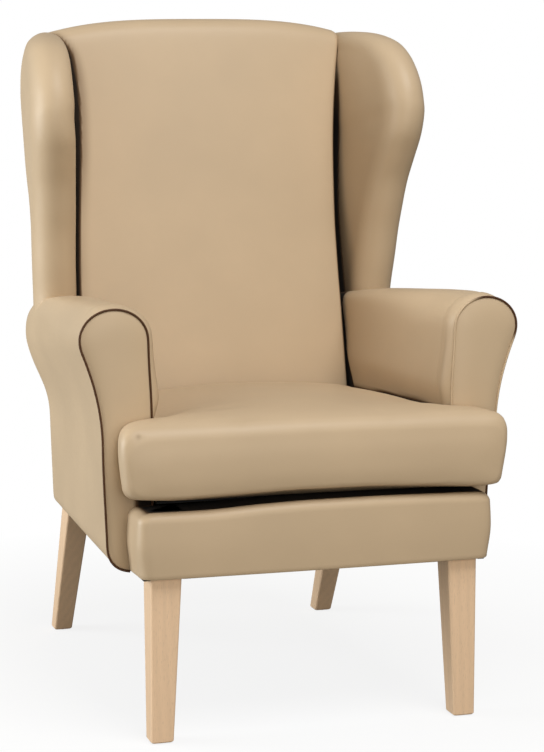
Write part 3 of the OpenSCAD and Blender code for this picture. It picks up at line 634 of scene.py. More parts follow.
def arm_ring(side, t, inset, front, behind=0.0):
    """One section of the arm: upright at its front, raked like the back at its rear."""
    ring = []
    for p in arm_outline(t, inset):
        y = mix(front, cover_rear_y(p[1]) - behind, t)
        ring.append((*swollen(p, t, y, side), y))
    ring += [(*p, ring[-1][2]) for p in flat_bottom([ring[0], ring[-1]], 14)]
    return [[x, y, z] for x, z, y in ring]


# The arm's length over which its sections are spread
ARM_RUN = 590


def arm_rings(side):
    """The arm from the groove behind its piping back to the outside back."""
    front = BORDER_DEPTH + 0.6
    rings = [arm_ring(side, 0, inset, front + y)
             for inset, y in ((6, 6), (3, 4.5), (1.3, 1.6), (0.4, 0.4))]
    gaps = [0, 1.5, 3, 4.5, 6.5, 9, 12, 15, 18, 22, 26, 29, 32, 34, 36, 39, 43, 49, 56, 65, 76]
    rings += [arm_ring(side, g / ARM_RUN, 0, front + 1) for g in gaps]
    # Closest where the deep gap beside the inside back starts
    for low, high, steps in ((gaps[-1] / ARM_RUN, 0.66, 24), (0.66, 0.83, 34), (0.83, 0.992, 10)):
        rings += [arm_ring(side, mix(low, high, k / steps), 0, front + 1)
                  for k in range(1, steps + 1)]
    rings += [arm_ring(side, 1, inset, front, behind)
              for inset, behind in ((0, 2.5), (0.8, 0.8), (2.5, 0))]
    return rings


def arm_front_rings(crown):
    """The padded board that closes the arm's front, from its back edge to its crowned face."""
    edge, front = 1.2, BORDER_DEPTH
    outline = arm_outline(0, edge)
    outline += flat_bottom(outline, 14)
    low, high = [SEAT_HALF_W + 40, BASE_Z + 60], [SEAT_HALF_W + 62, ROLL_Z - 10]

    def inward(p, share, y):
        z = clamp(p[1], low[1], high[1])
        x = mix(low[0], high[0], (z - low[1]) / (high[1] - low[1]))
        return [mix(p[0], x, share), y, mix(p[1], z, share)]

    rings = [[inward(p, share, front + y) for p in outline]
             for share, y in ((0.03, 5.0), (0.01, 2.4), (0, 0.6), (0.01, -0.4))]
    for k in range(1, 19):
        share = (k / 18) ** 1.3 * 0.985
        swell = 1 - (1 - share) ** 3.2
        rings.append([inward(p, mix(0.01, 1, share), front - 0.4 - crown * swell) for p in outline])
    return rings


def tube_rings(path, radius):
    """Rings round a path that keeps to a plane across the chair."""
    rings, sides = [], 14
    for i, p in enumerate(path):
        a, b = path[max(0, i - 1)], path[min(len(path) - 1, i + 1)]
        run = Vector((b[0] - a[0], b[1] - a[1], b[2] - a[2])).normalized()
        across = run.cross(Vector((0, 1, 0))).normalized()
        deep = run.cross(across)
        ring = []
        for k in range(sides):
            g = math.tau * k / sides
            d = across * math.cos(g) + deep * math.sin(g)
            ring.append([p[0] + d[0] * radius, p[1] + d[1] * radius, p[2] + d[2] * radius])
        rings.append(ring)
    return rings


# Rows along the wing's edge: its reach before the outside back, the heights of its edge and of
# its root above the seat base, then for the section's nose the place of its tip, its inner and
# outer half widths and its depth
WING_ROWS = [
    (160, 332, 332, 284, 39, 35, 44), (170, 375, 374, 285, 39, 35, 44),
    (188, 426, 421, 288, 39, 35, 44), (206, 475, 465, 290, 39, 35, 44),
    (226, 517, 502, 292, 39, 35, 45), (248, 561, 539, 295, 39, 35, 46),
    (276, 602, 571, 299, 39, 35, 47), (302, 641, 601, 303, 39, 35, 48),
    (314, 677, 628, 306, 39, 35, 50), (315, 703, 647, 305, 39, 35, 50),
    (309, 728, 665, 304, 38, 35, 50), (294, 754, 682, 302, 37, 35, 48),
    (270, 779, 699, 299, 36, 35, 46), (234, 799, 715, 295, 34, 35, 44),
    (182, 812, 729, 289, 31, 32, 42), (118, 818, 742, 281, 26, 29, 40),
    (56, 820, 753, 272, 20, 27, 38), (0, 819, 761, 263, 13, 27, 36)]
# Half the width of the outside back, by height above the seat base
BACK_SIDES = [(0, 264), (57, 267), (102, 269), (152, 270.5), (187, 275), (225, 284), (257, 290),
              (332, 293), (478, 295.5), (507, 297.5), (540, 300), (578, 303), (652, 306),
              (692, 307.5), (721, 308), (753, 301), (770, 295), (782, 290)]
# By height above the seat base: half the width of the inside back, on its right and its left, and
# where each side starts to turn in
PAD_SIDES = [(106, 230.4, 230.4, 219, 219), (327, 230.4, 230.4, 219, 219),
             (363, 230, 247, 219, 239), (398, 229.5, 247, 219, 238), (464, 230, 243, 219, 234.5),
             (552, 233.5, 238, 222, 228), (618, 237.5, 237.5, 226, 223), (684, 244, 244, 232, 221),
             (733, 251, 251, 238, 223), (763, 256, 256, 242, 228), (780, 259, 259, 245, 233),
             (812, 263.5, 264, 250, 251), (842, 265, 266, 253, 254)]
# The same for the root of each wing's inner side
WING_ROOTS = [(106, 234), (496, 234), (558, 238), (666, 247), (760, 255), (842, 259)]


def pad_w(z, side):
    """Half the width of the inside back at a height, on one side."""
    return lookup(z - BASE_Z, PAD_SIDES, 1 if side > 0 else 2)


def pad_turn(x, z):
    """How far round its side edge the inside back is, from 0 on its face to 1 at its side."""
    column = 1 if x > 0 else 2
    start, end = lookup(z - BASE_Z, PAD_SIDES, column + 2), lookup(z - BASE_Z, PAD_SIDES, column)
    return clamp((abs(x) - start) / (end - start))


def wing_root_x(z):
    """How far out the root of the wing's inner side is at a height."""
    return lookup(z - BASE_Z, WING_ROOTS)


def wing_ring(t):
    """One section of the wing, from its root inside, round its nose and back to its outer root."""
    reach, edge_up, root_up, tip, half_in, half_out, depth = along_rows(WING_ROWS, t)
    ze, zq = BASE_Z + edge_up, BASE_Z + root_up
    e, q = (cover_rear_y(ze) - reach, ze), (cover_rear_y(zq), zq)
    run = math.dist(e, q)
    d = ((e[0] - q[0]) / run, (e[1] - q[1]) / run)
    depth = min(depth, 0.7 * run)
    at, inner, outer = run - depth, wing_root_x(zq), lookup(root_up, BACK_SIDES)
    long = min(1.4 * depth, 0.8 * run)
    nose = (turn(tip, run - long, half_in, long, 180, 90, 9, 2.4)[:-1]
            + turn(tip, at, half_out, depth, 90, 0, 9))
    inside = [[mix(inner, tip - half_in, k / 16) - 4 * math.sin(math.pi * k / 16),
               (run - long) * k / 16] for k in range(16)]
    hem = min(6, at / 3)
    outside = [[mix(tip + half_out, outer, k / 16) + 3 * math.sin(math.pi * k / 16),
                mix(at, hem, k / 16)] for k in range(1, 17)]
    side = even_steps(softened(even_steps(inside + nose + outside, 150), 16), 100)
    back = [[mix(outer - 2, inner, k / 12), 0] for k in range(0, 12)]
    return [[p[0], q[0] + d[0] * p[1], q[1] + d[1] * p[1]] for p in side + back]


def pad_front_y(z):
    """The depth of the inside back's sloping face at a height."""
    return PAD_FRONT_LOW_Y + (z - CUSHION_Z) * math.tan(PAD_SLOPE)


def pad_top(u):
    """The height of the inside back's top, u from -1 to 1 across it."""
    return BACK_TOP_Z + 1 - 23 * abs(u) ** 3.2


# How the inside back is rounded: the radius over its top, how far its side edges turn back and how
# far its middle stands forward
PAD_TOP_R, PAD_EDGE_DEPTH, PAD_CROWN = 24, 25, 10


def pad_ring(u):
    """One upright section of the inside back, u from -1 to 1 across it."""
    top = pad_top(u) - 5 * pad_turn(u * pad_w(BACK_TOP_Z, u), BACK_TOP_Z) ** 2
    foot, r = CUSHION_Z + 0.5, PAD_TOP_R
    knee = top - r
    front = [[pad_front_y(z), z] for z in (mix(foot, knee, k / 60) for k in range(61))]
    for k in range(1, 11):
        a = math.radians(90 * k / 10)
        z = knee + r * math.sin(a)
        over = r * (1 - math.cos(a))
        front.append([pad_front_y(knee) + (z - knee) * math.tan(PAD_SLOPE) + over, z])
    line = []
    for y, z in even_steps(softened(front, 4), 92):
        x = u * pad_w(z, u)
        off = pad_turn(x, z) ** 1.5
        edge = PAD_EDGE_DEPTH * (1 - math.sqrt(1 - off * off))
        line.append([x, y + edge - PAD_CROWN * (1 - u * u), z])
    last = line[-1][1]
    for k in range(1, 6):
        line.append([u * pad_w(top, u), mix(last, cover_rear_y(top), k / 6), top])
    for k in range(41):
        z = mix(top, foot, k / 40)
        hollow = ease(BASE_Z + 789, BASE_Z + 777, z) * 38
        line.append([u * pad_w(z, u), cover_rear_y(z) - hollow, z])
    return line


def pad_stations():
    """Places across the inside back, closer together towards its sides."""
    out, count = [], 81
    for k in range(count):
        s = -1 + 2 * k / (count - 1)
        out.append(math.copysign(1 - (1 - abs(s)) ** 1.7, s) if s else 0)
    return out


def back_outline():
    """The outside back, flat: up its right side, over the top and down the left."""
    def x_at(up):
        return lookup(up, BACK_SIDES) - 1.5
    half = turn(x_at(0) - 6, BASE_Z + 6, 6, 6, -90, 0, 15)
    half += [[x_at(k * 12), BASE_Z + k * 12] for k in range(1, 64)]
    half += [[x, BASE_Z + up] for x, up in
             ((298, 761), (291, 781), (284, 795), (276, 806), (266, 813), (256, 816))]
    half += [[x, pad_top(x / 258) - 3] for x in range(240, 0, -12)]
    half = even_steps(softened(even_steps(half, 200), 4), 120)
    return half + [[-x, z] for x, z in half[::-1]]


# Half the width and half the height of the outside back, for drawing its outline in
BACK_HALF_W, BACK_HALF_H = 290, 417


def outside_back_rings():
    """The outside back, from its front face, round its edge and over its crowned rear face."""
    outline = back_outline()
    middle = BASE_Z + BACK_HALF_H

    def ring(inset, ahead):
        out = []
        for x, z in outline:
            dx, dz = -inset * x / BACK_HALF_W, inset * (middle - z) / BACK_HALF_H
            out.append([x + dx, rear_y(z + dz) - ahead, z + dz])
        return out

    edge, crown = 2.2, 4
    rings = [ring(inset, ahead) for inset, ahead in
             ((2, PANEL_T - 0.2), (0, PANEL_T - 1.2), (0, 2.6), (0.7, 0.9), (edge, 0))]
    for k in range(1, 26):
        share = (k / 25) ** 1.4 * 0.985
        rings.append(ring(mix(edge, BACK_HALF_W, share), -crown * (1 - (1 - share) ** 2.4)))
    return rings


# The height of the border's top above the seat base, by place across the chair
BORDER_TOP_UPS = [(-277, 97.5), (-257, 98.6), (-186, 98.6), (-81, 103.5), (0, 105.6), (86, 105.8),
                  (200, 104), (277, 102.6)]
# The rounding of the border's corners in plan and of its top edge, and how much lower its top is
# behind that edge
BORDER_CORNER_R, BORDER_EDGE_R, BORDER_TOP_DROP = 17, 15, 1.6


def border_plan(up, inset, back):
    """The border's edge at one height, from its right end round its front to its left end."""
    w, r = SEAT_HALF_W + mix(42, 46, ease(0, 55, up)) - inset, BORDER_CORNER_R
    right = [[w - 1.5 * ease(0, 5, k), mix(back, r, k / 6)] for k in range(6)]
    right += [[w - r - 1.5 + x, inset + r - y] for x, y in turn(0, 0, r, r, 0, 90, 5)]
    front = [[(w - r - 1.5) * k / 24, inset - 3 * (1 - (k / 24) ** 2)] for k in range(23, -1, -1)]
    half = even_steps(softened(even_steps(right + front, 150), 3), 90)
    plan = ([[p[0] + 2.5 * ease(200, 270, p[0]), p[1]] for p in half]
            + [[-p[0], p[1]] for p in half[-2::-1]])
    risen = ease(30, 96, up)
    return [[x, y, BASE_Z + up + (lookup(x, BORDER_TOP_UPS) - BORDER_H) * risen] for x, y in plan]


def border_rings():
    """The border from its bottom edge, up its swollen front and in over its top."""
    back, top, r = BORDER_DEPTH - SEAM, BORDER_H, BORDER_EDGE_R
    rings = [border_plan(up, inset, back) for up, inset in ((1, 7), (1, 3.5), (1.6, 1.2), (3.4, 0))]
    for k in range(1, 18):
        up = mix(3.4, top - r, k / 17)
        rings.append(border_plan(up, -1.5 * math.sin(math.pi * k / 17), back))
    for k in range(1, 11):
        a = math.radians(90 * k / 10)
        rings.append(border_plan(top - r + r * math.sin(a), r * (1 - math.cos(a)), back))
    for inset in (17, 20, 24, 30, 38, 48, 58, 66, 72):
        rings.append(border_plan(top - BORDER_TOP_DROP * ease(r, 24, inset), inset, back))
    return rings


# The cushion's top above the seat base, by depth: at its right side, its left side and its middle
CUSHION_TOP = [(-12, 226, 226, 228), (10, 227, 227.5, 231), (40, 227.5, 228, 235.5),
               (77, 228.5, 227, 240), (110, 228, 224, 242.5), (130, 227, 219, 243),
               (160, 226.5, 210, 243), (200, 225.5, 203, 242), (240, 224, 201, 240),
               (300, 221, 201, 235), (420, 213, 204, 226), (495, 210, 206, 218),
               (530, 209, 206, 214)]
# How far the front of the cushion's underside stands off the border, by place across
CUSHION_LIFT = [(-300, 12), (-272, 13), (-218, 11), (-162, 12), (-98, 13.5), (-27, 15.5), (65, 15),
                (137, 12.5), (206, 9.5), (263, 6.5), (300, 7)]
# By side: the rounding of the cushion's lower and upper edges, and how far its underside draws in
# at the ears, which is less behind them
CUSHION_FOOT_R, CUSHION_TOP_R = {1: 8, -1: 18}, {1: 20, -1: 26}
EAR_DRAW, WAIST_DRAW = {1: 8, -1: 5}, 2
# The rounding of the cushion's front and back ends and of its ears, and the depth where they end
CUSHION_END_R = 26
EAR_R, EAR_BACK_Y = 14, 71


def rounded_off(d, r):
    """How far a rounded edge of radius r stands back at a distance d from the end."""
    return r - math.sqrt(r * r - (r - d) ** 2) if d < r else 0


def cushion_half(side, y, w, top_off, foot_off, side_off, ear):
    """One half of a section, from the middle of the underside round to the middle of the top."""
    wide = w - side_off
    foot_w = wide - (EAR_DRAW[side] if ear else WAIST_DRAW)
    foot_r, top_r = CUSHION_FOOT_R[side], CUSHION_TOP_R[side]
    lift = 1 - ease(0, 75, y)

    def low(x):
        return CUSHION_Z + lookup(side * x, CUSHION_LIFT) * lift + foot_off

    edge_up, middle_up = lookup(y, CUSHION_TOP, 1 if side > 0 else 2), lookup(y, CUSHION_TOP, 3)
    high = BASE_Z + edge_up - top_off
    bottom = [[(foot_w - foot_r) * k / 12, low((foot_w - foot_r) * k / 12)] for k in range(12)]
    z = low(foot_w - foot_r)
    corner = turn(foot_w - foot_r, z + foot_r, foot_r, foot_r, -90, 0, 10)
    rise = [[mix(foot_w, wide, ease(0, 0.75, k / 8)), mix(z + foot_r, high - top_r, k / 8)]
            for k in range(1, 8)]
    shoulder = turn(wide - top_r, high - top_r, top_r, top_r, 0, 90, 8)
    flat = wide - top_r
    top = [[flat * (1 - k / 16), high + (middle_up - edge_up) * (1 - (1 - k / 16) ** 2)]
           for k in range(1, 17)]
    half = even_steps(softened(even_steps(bottom + corner + rise + shoulder + top, 150), 3), 74)
    wider = 2 if ear else 0
    return [[side * (p[0] + wider * ease(150, 290, p[0])), p[1]] for p in half]


def cushion_section(y, w, top_off=0.0, foot_off=0.0, side_off=0.0, ear=False):
    """One section across the cushion, which slopes like the inside back where it meets it."""
    right, left = (cushion_half(side, y, w, top_off, foot_off, side_off, ear) for side in (1, -1))
    bow = max(0, y / CUSHION_BACK_Y)
    return [[x, y + bow * math.tan(PAD_SLOPE) * (z - CUSHION_Z - 52), z]
            for x, z in right + left[-2:0:-1]]


def ear_w(y):
    """Half the cushion's width at the ears."""
    return CUSHION_HALF_W + 1 - 10 * max(0, y - 20) / 51


def cushion_rings():
    """The cushion from its swollen front face, past its ears and back to the inside back."""
    waist, start, r = SEAT_HALF_W - 3, -CUSHION_OVERHANG, CUSHION_END_R
    rounded = []
    for k in range(11):
        d = r * (1 - math.cos(math.radians(9 * k)))
        rounded.append(cushion_section(start + d, ear_w(0), rounded_off(d, r), rounded_off(d, 9),
                                       rounded_off(d, 18), True))
    rings, middle = [], BASE_Z + 165
    for k in range(9, 0, -1):
        share = k / 9 * 0.985
        swell = 4 * (1 - (1 - share) ** 2.5)
        rings.append([[x - math.copysign(min(abs(x), 45 * share), x), y - swell,
                       mix(z, middle, share)] for x, y, z in rounded[0]])
    ear_y = EAR_BACK_Y - EAR_R
    rings += rounded + [cushion_section(y, ear_w(y), ear=True) for y in range(20, ear_y, 6)]
    for k in range(1, 7):
        a = math.radians(90 * k / 6)
        rings.append(cushion_section(ear_y + EAR_R * math.sin(a),
                                     ear_w(ear_y) - EAR_R * (1 - math.cos(a)), ear=True))
    rings.append(cushion_section(EAR_BACK_Y + 0.6, mix(ear_w(EAR_BACK_Y), waist, 0.5)))
    last = CUSHION_BACK_Y - r
    rings += [cushion_section(mix(EAR_BACK_Y + 1.5, last, k / 40), waist) for k in range(41)]
    for k in range(9, -1, -1):
        d = r * (1 - math.cos(math.radians(9 * k)))
        rings.append(cushion_section(CUSHION_BACK_Y - d, waist, rounded_off(d, r),
                                     rounded_off(d, 14), rounded_off(d, 20)))
    return rings


# ---------------------------------------------------------------- operators

# The small dimple at the cushion's left front corner: its place across and above the seat base, and
# how deep it is pulled in
DIMPLE_X, DIMPLE_UP, DIMPLE_DEPTH = -277, 213, 2


def dimple(x, z, spread):
    """How strong the dimple is at a point of the cushion's front."""
    return math.exp(-((x - DIMPLE_X) ** 2 + (z - BASE_Z - DIMPLE_UP) ** 2) / spread)


class CHAIR_OT_seat_cushion(bpy.types.Operator):
    """Make the loose seat cushion"""
    bl_idname = "chair.seat_cushion"
    bl_label = "Seat cushion"

    def execute(self, context):
        # Painted shade in the small dimple at the left front corner
        def painted_shade(x, y, z):
            return 0.2 * dimple(x, z, 16) * ease(8, 0, y)

        bm = filled(lofted(cushion_rings()), sizes().start_gap, sizes().cap, sizes().pressure)
        for v in bm.verts:
            x, y, z = built(v.co)
            if y < 5:
                v.co.y += DIMPLE_DEPTH * MM * dimple(x, z, 45)
        piece = finished(bm, "seat_cushion_pad", cover_cloth(), CUSHION, 60,
                         ("cushion_cover", "cushion_foam"), painted_shade)
        smooth = piece.modifiers.new("smooth", "SUBSURF")
        smooth.levels = smooth.render_levels = 1
        return {"FINISHED"}


class CHAIR_OT_seat_border(bpy.types.Operator):
    """Make the padded border under the cushion"""
    bl_idname = "chair.seat_border"
    bl_label = "Seat border"

    def execute(self, context):
        # Painted shade on the top behind the front edge, so that the gap under the cushion is dark
        def painted_shade(x, y, z):
            top = BASE_Z + lookup(x, BORDER_TOP_UPS)
            between = ease(270, 262, x) * ease(-268, -254, x)
            return ease(13, 17, y) * ease(top - 14, top - 12, z) * between

        bm = lofted(border_rings())
        piece = finished(bm, "seat_border_pad", cover_cloth(), CHAIR, 50,
                         ("border_cover", "border_foam"), painted_shade)
        return {"FINISHED"}


# Where the painted shade of the deep gap beside the inside back starts on the arm, behind the face
# of the back, by height above the seat base
ARM_GAP_SHADE = [(200, -24), (215, -17), (239, -7), (273, 4), (315, 9), (341, 11), (364, 8)]


class CHAIR_OT_arms(bpy.types.Operator):
    """Make the rolled arms"""
    bl_idname = "chair.arms"
    bl_label = "Arms"

    def execute(self, context):
        # Painted shade beside the inside back and beside the cushion, with a faint painted shade
        # along the fold behind the front
        def painted_shade(x, y, z):
            inside = ease(247, 240, abs(x))
            start = lookup(z - BASE_Z, ARM_GAP_SHADE)
            beside_pad = ease(start, start + 3, y - pad_front_y(z))
            seat_z = BASE_Z + lookup(y, CUSHION_TOP, 1 if x > 0 else 2)
            beside_seat = ease(seat_z - 1, seat_z - 6, z) * ease(84, 96, y)
            fold_shade = 0.1 * math.exp(-((y - 95) / 3.5) ** 2) * ease(BASE_Z + 372, BASE_Z + 320, z)
            return inside * max(beside_pad, beside_seat, fold_shade)

        for name, side in SIDES.items():
            bm = lofted(on_side(arm_rings(side), side))
            piece = finished(bm, f"arm_pad_{name}", cover_cloth(), CHAIR, 60,
                             (f"arm_cover_{name}", f"arm_foam_{name}"), painted_shade)
        return {"FINISHED"}


class CHAIR_OT_arm_fronts(bpy.types.Operator):
    """Make the padded boards that close the arms' fronts"""
    bl_idname = "chair.arm_fronts"
    bl_label = "Arm fronts"

    def execute(self, context):
        # Painted shade between the cushion and the border, and a light painted shadow beside the
        # border on the left
        def painted_shade(x, y, z):
            gap = ease(90, 97, z - BASE_Z) * ease(128, 120, z - BASE_Z)
            beside = 0.14 * ease(130, 60, z - BASE_Z) * ease(-302, -272, x) if x < 0 else 0
            return max(beside, gap * (ease(266, 258, x) if x > 0 else ease(-271, -257, x)))

        rings = arm_front_rings(sizes().front_crown / MM)
        for name, side in SIDES.items():
            piece = finished(lofted(on_side(rings, side)), f"arm_front_pad_{name}", cover_cloth(),
                             CHAIR, 60, (f"arm_facing_{name}",), painted_shade)
        return {"FINISHED"}


class CHAIR_OT_arm_piping(bpy.types.Operator):
    """Make the piping round the arms' fronts"""
    bl_idname = "chair.arm_piping"
    bl_label = "Arm piping"

    def execute(self, context):
        cloth = piping_cloth("piping_cloth", tuple(colours().piping), tuple(colours().cover))
        radius = sizes().piping / MM
        outline = arm_outline(0, -0.2)
        outline = [p for p in outline if p[1] > CUSHION_Z - 20 or p[0] > SEAT_HALF_W + 30]
        path = even_steps([[p[0], BORDER_DEPTH - 0.6, p[1]] for p in outline], 300)
        rings = tube_rings(path, radius)

        # On the right arm the piping takes the cover's colour inside the roll and below it, down to
        # the cushion
        def cover_toned(x, y, z):
            hidden = max(ease(290, 262, x), ease(ROLL_Z - 6, ROLL_Z - 26, z))
            return ease(0, 1, x) * hidden * ease(CUSHION_Z + 20, CUSHION_Z + 30, z)

        for name, side in SIDES.items():
            piece = finished(lofted(on_side(rings, side)), f"arm_piping_cord_{name}", cloth, CHAIR,
                             60, (f"arm_piping_{name}",))
            point_values(piece.data, "cover_toned", cover_toned)
        return {"FINISHED"}


# Where the painted shade of the gap beside the inside back starts on the wing, behind the face of
# the back, by height above the seat base
WING_GAP_SHADE = [(380, 26), (470, 22), (560, 13), (640, 4), (745, -8)]


class CHAIR_OT_wings(bpy.types.Operator):
    """Make the two wings"""
    bl_idname = "chair.wings"
    bl_label = "Wings"

    def execute(self, context):
        # Painted shade in the gap beside the inside back, with a wide soft painted shade before it
        def painted_shade(x, y, z):
            up, inside = z - BASE_Z, ease(50, 38, abs(x) - wing_root_x(z))
            deep = y - pad_front_y(z)
            start = lookup(up, WING_GAP_SHADE)
            gap_shade = ease(start, start + 11, deep) * ease(767, 735, up)
            reach = mix(62, 16, ease(380, 660, up))
            wide = ease(start - reach, start + 4, deep) ** 1.3 * ease(745, 500, up)
            return inside * clamp(mix(0.5, 1, ease(745, 640, up)) * gap_shade + 0.42 * wide)

        rings = [wing_ring(k / 130) for k in range(131)]
        for name, side in SIDES.items():
            piece = finished(lofted(on_side(rings, side)), f"wing_pad_{name}", cover_cloth(), CHAIR,
                             60, (f"wing_cover_{name}", f"wing_foam_{name}"), painted_shade)
        return {"FINISHED"}


class CHAIR_OT_inside_back(bpy.types.Operator):
    """Make the inside back"""
    bl_idname = "chair.inside_back"
    bl_label = "Inside back"

    def execute(self, context):
        # Painted shade round the side edges, which starts farther in and more softly on the left,
        # with a soft painted shade before the left edge
        def painted_shade(x, y, z):
            up, round_edge = z - BASE_Z, pad_turn(x, z)
            dark = ease(0.35, 0.75, round_edge)
            if x < 0:
                over = -x - lookup(up, PAD_SIDES, 4)
                soft_shade = mix(0.12, 0.3, ease(480, 620, up)) * ease(-22, 0, over) ** 1.3
                dark = max(ease(-3 - 6 * ease(740, 780, up), 4.5, over), soft_shade)
            return dark * ease(BACK_TOP_Z - 22, BACK_TOP_Z - 48, z)

        bm = lofted(on_side([pad_ring(u) for u in pad_stations()], 1))
        piece = finished(bm, "inside_back_pad", cover_cloth(), CHAIR, 60,
                         ("inside_back_cover", "back_foam"), painted_shade)
        return {"FINISHED"}


class CHAIR_OT_outside_back(bpy.types.Operator):
    """Make the outside back"""
    bl_idname = "chair.outside_back"
    bl_label = "Outside back"

    def execute(self, context):
        bm = lofted(on_side(outside_back_rings(), 1))
        piece = finished(bm, "outside_back_pad", cover_cloth(), CHAIR, 50,
                         ("outside_back_panel",))
        return {"FINISHED"}


class CHAIR_OT_seat_deck(bpy.types.Operator):
    """Make the deck on the springs"""
    bl_idname = "chair.seat_deck"
    bl_label = "Seat deck"

    def execute(self, context):
        low, high = [[c / MM for c in corner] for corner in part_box("seat_deck")]
        bm = bmesh.new()
        bmesh.ops.create_grid(bm, x_segments=60, y_segments=72, size=1, calc_uvs=False)
        bm.verts.ensure_lookup_table()
        half = [(b - a) / 2 for a, b in zip(low, high)]
        middle = [(a + b) / 2 for a, b in zip(low, high)]
        for v in bm.verts:
            sx, sy = v.co.x, v.co.y
            edge = min(half[0] * (1 - abs(sx)), half[1] * (1 - abs(sy)))
            sag = 1.5 * (1 - sx * sx) * (1 - sy * sy)
            v.co = Vector((middle[0] + sx * half[0], middle[1] + sy * half[1],
                           high[2] - rounded_off(edge, 4) - sag)) * MM
        made = bmesh.ops.extrude_face_region(bm, geom=bm.faces[:])["geom"]
        for v in made:
            if isinstance(v, bmesh.types.BMVert):
                v.co.z = low[2] * MM
        cloth = woven_cloth("deck_cloth", (0.018, 0.018, 0.018), 0.0012)
        piece = finished(bm, "seat_deck_pad", cloth, CHAIR, 50, ("seat_deck",))
        return {"FINISHED"}


# Where the dust cover is cut out round the legs: from and to across, from and to in depth
LEG_NOTCHES = [(207.5, 258, 10, 61.5), (222.5, 265.5, 564.5, 621)]


class CHAIR_OT_dust_cover(bpy.types.Operator):
    """Make the dust cover under the seat"""
    bl_idname = "chair.dust_cover"
    bl_label = "Dust cover"

    def execute(self, context):
        low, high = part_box("dust_cover")
        width, depth = high[0] - low[0], high[1] - low[1]
        bm = bmesh.new()
        bmesh.ops.create_grid(bm, x_segments=108, y_segments=126, size=0.5)
        middle = Matrix.Translation(((low[0] + high[0]) / 2, (low[1] + high[1]) / 2, 0))
        bmesh.ops.transform(bm, matrix=middle @ Matrix.Diagonal((width, depth, 1, 1)),
                            verts=bm.verts)
        over_legs = []
        for f in bm.faces:
            x, y, _ = built(f.calc_center_median())
            if any(a < abs(x) < b and c < y < d for a, b, c, d in LEG_NOTCHES):
                over_legs.append(f)
        bmesh.ops.delete(bm, geom=over_legs, context="FACES")
        for v in bm.verts:
            sx = 2 * (v.co.x - low[0]) / width - 1
            sy = 2 * (v.co.y - low[1]) / depth - 1
            sag = 4 * MM * (1 - sx ** 4) * (1 - sy ** 4)
            wave = math.sin(sx * 9) * math.sin(sy * 11 + sx * 2)
            ripple = 0.5 * MM * wave * (1 - sx ** 2) * (1 - sy ** 2)
            v.co.z = high[2] - 0.6 * MM - sag + ripple
        area = sum(f.calc_area() for f in bm.faces)
        cloth = woven_cloth("dust_cloth", (0.02, 0.02, 0.02), 0.0009)
        piece = finished(bm, "dust_cover_cloth", cloth, CHAIR, 60,
                         ("dust_cover",))
        solid = piece.modifiers.new("thickness", "SOLIDIFY")
        solid.thickness, solid.offset = 0.0006, 0
        return {"FINISHED"}


class CHAIR_OT_zip(bpy.types.Operator):
    """Make the zip at the back of the cushion, and its slider"""
    bl_idname = "chair.zip"
    bl_label = "Zip"

    def execute(self, context):
        low, high = [[c / MM for c in corner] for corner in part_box("cushion_zip")]
        slider_low, slider_high = [[c / MM for c in corner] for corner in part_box("zip_slider")]
        height = (low[2] + high[2]) / 2
        face_y = (low[1] + high[1]) / 2 + DEPTH_MID
        slope = Matrix.Rotation(-PAD_SLOPE, 4, "X")
        at = Matrix.Translation(placed((0, face_y, height)))

        def block(bm, size, place, rounding):
            made = bmesh.ops.create_cube(bm, size=1)["verts"]
            bmesh.ops.transform(bm, matrix=at @ slope @ Matrix.Translation(Vector(place) * MM)
                                @ Matrix.Diagonal([s * MM for s in size] + [1]), verts=made)
            if rounding:
                edges = list({e for v in made for e in v.link_edges})
                bmesh.ops.bevel(bm, geom=edges, offset=rounding * MM, offset_type="OFFSET",
                                segments=3, profile=0.5, affect="EDGES", material=-1)

        span = high[0] - low[0]
        bm = bmesh.new()
        for side in (-1, 1):
            block(bm, (span, 0.7, 10.2), (0, -0.3, side * 6.9), 0.2)
        pitch = 2.6
        for k in range(int(span / pitch)):
            x = -span / 2 + pitch / 2 + k * pitch
            block(bm, (1.5, 1.5, 3.4), (x, 0.1, 1.0), 0)
            block(bm, (1.5, 1.5, 3.4), (x + pitch / 2, 0.1, -1.0), 0)
        tape = woven_cloth("zip_cloth", (0.19, 0.135, 0.08), 0.0009, 0.3)
        finished(bm, "zip_tape_cloth", tape, CUSHION, 40, ("cushion_zip",))

        middle = (slider_low[0] + slider_high[0]) / 2
        bm = bmesh.new()
        block(bm, (9, 1.2, 8.6), (middle, 1.6, 0), 0.5)
        block(bm, (6.5, 0.9, 2.2), (middle - 0.4, 2.6, 0), 0.3)
        block(bm, (11, 0.8, 5.2), (middle + 8.5, 2.7, 0), 0.35)
        metal = bright_metal("slider_metal", (0.35, 0.28, 0.18), 0.3)
        finished(bm, "zip_slider_body", metal, SLIDER, 35, ("zip_slider",))
        return {"FINISHED"}


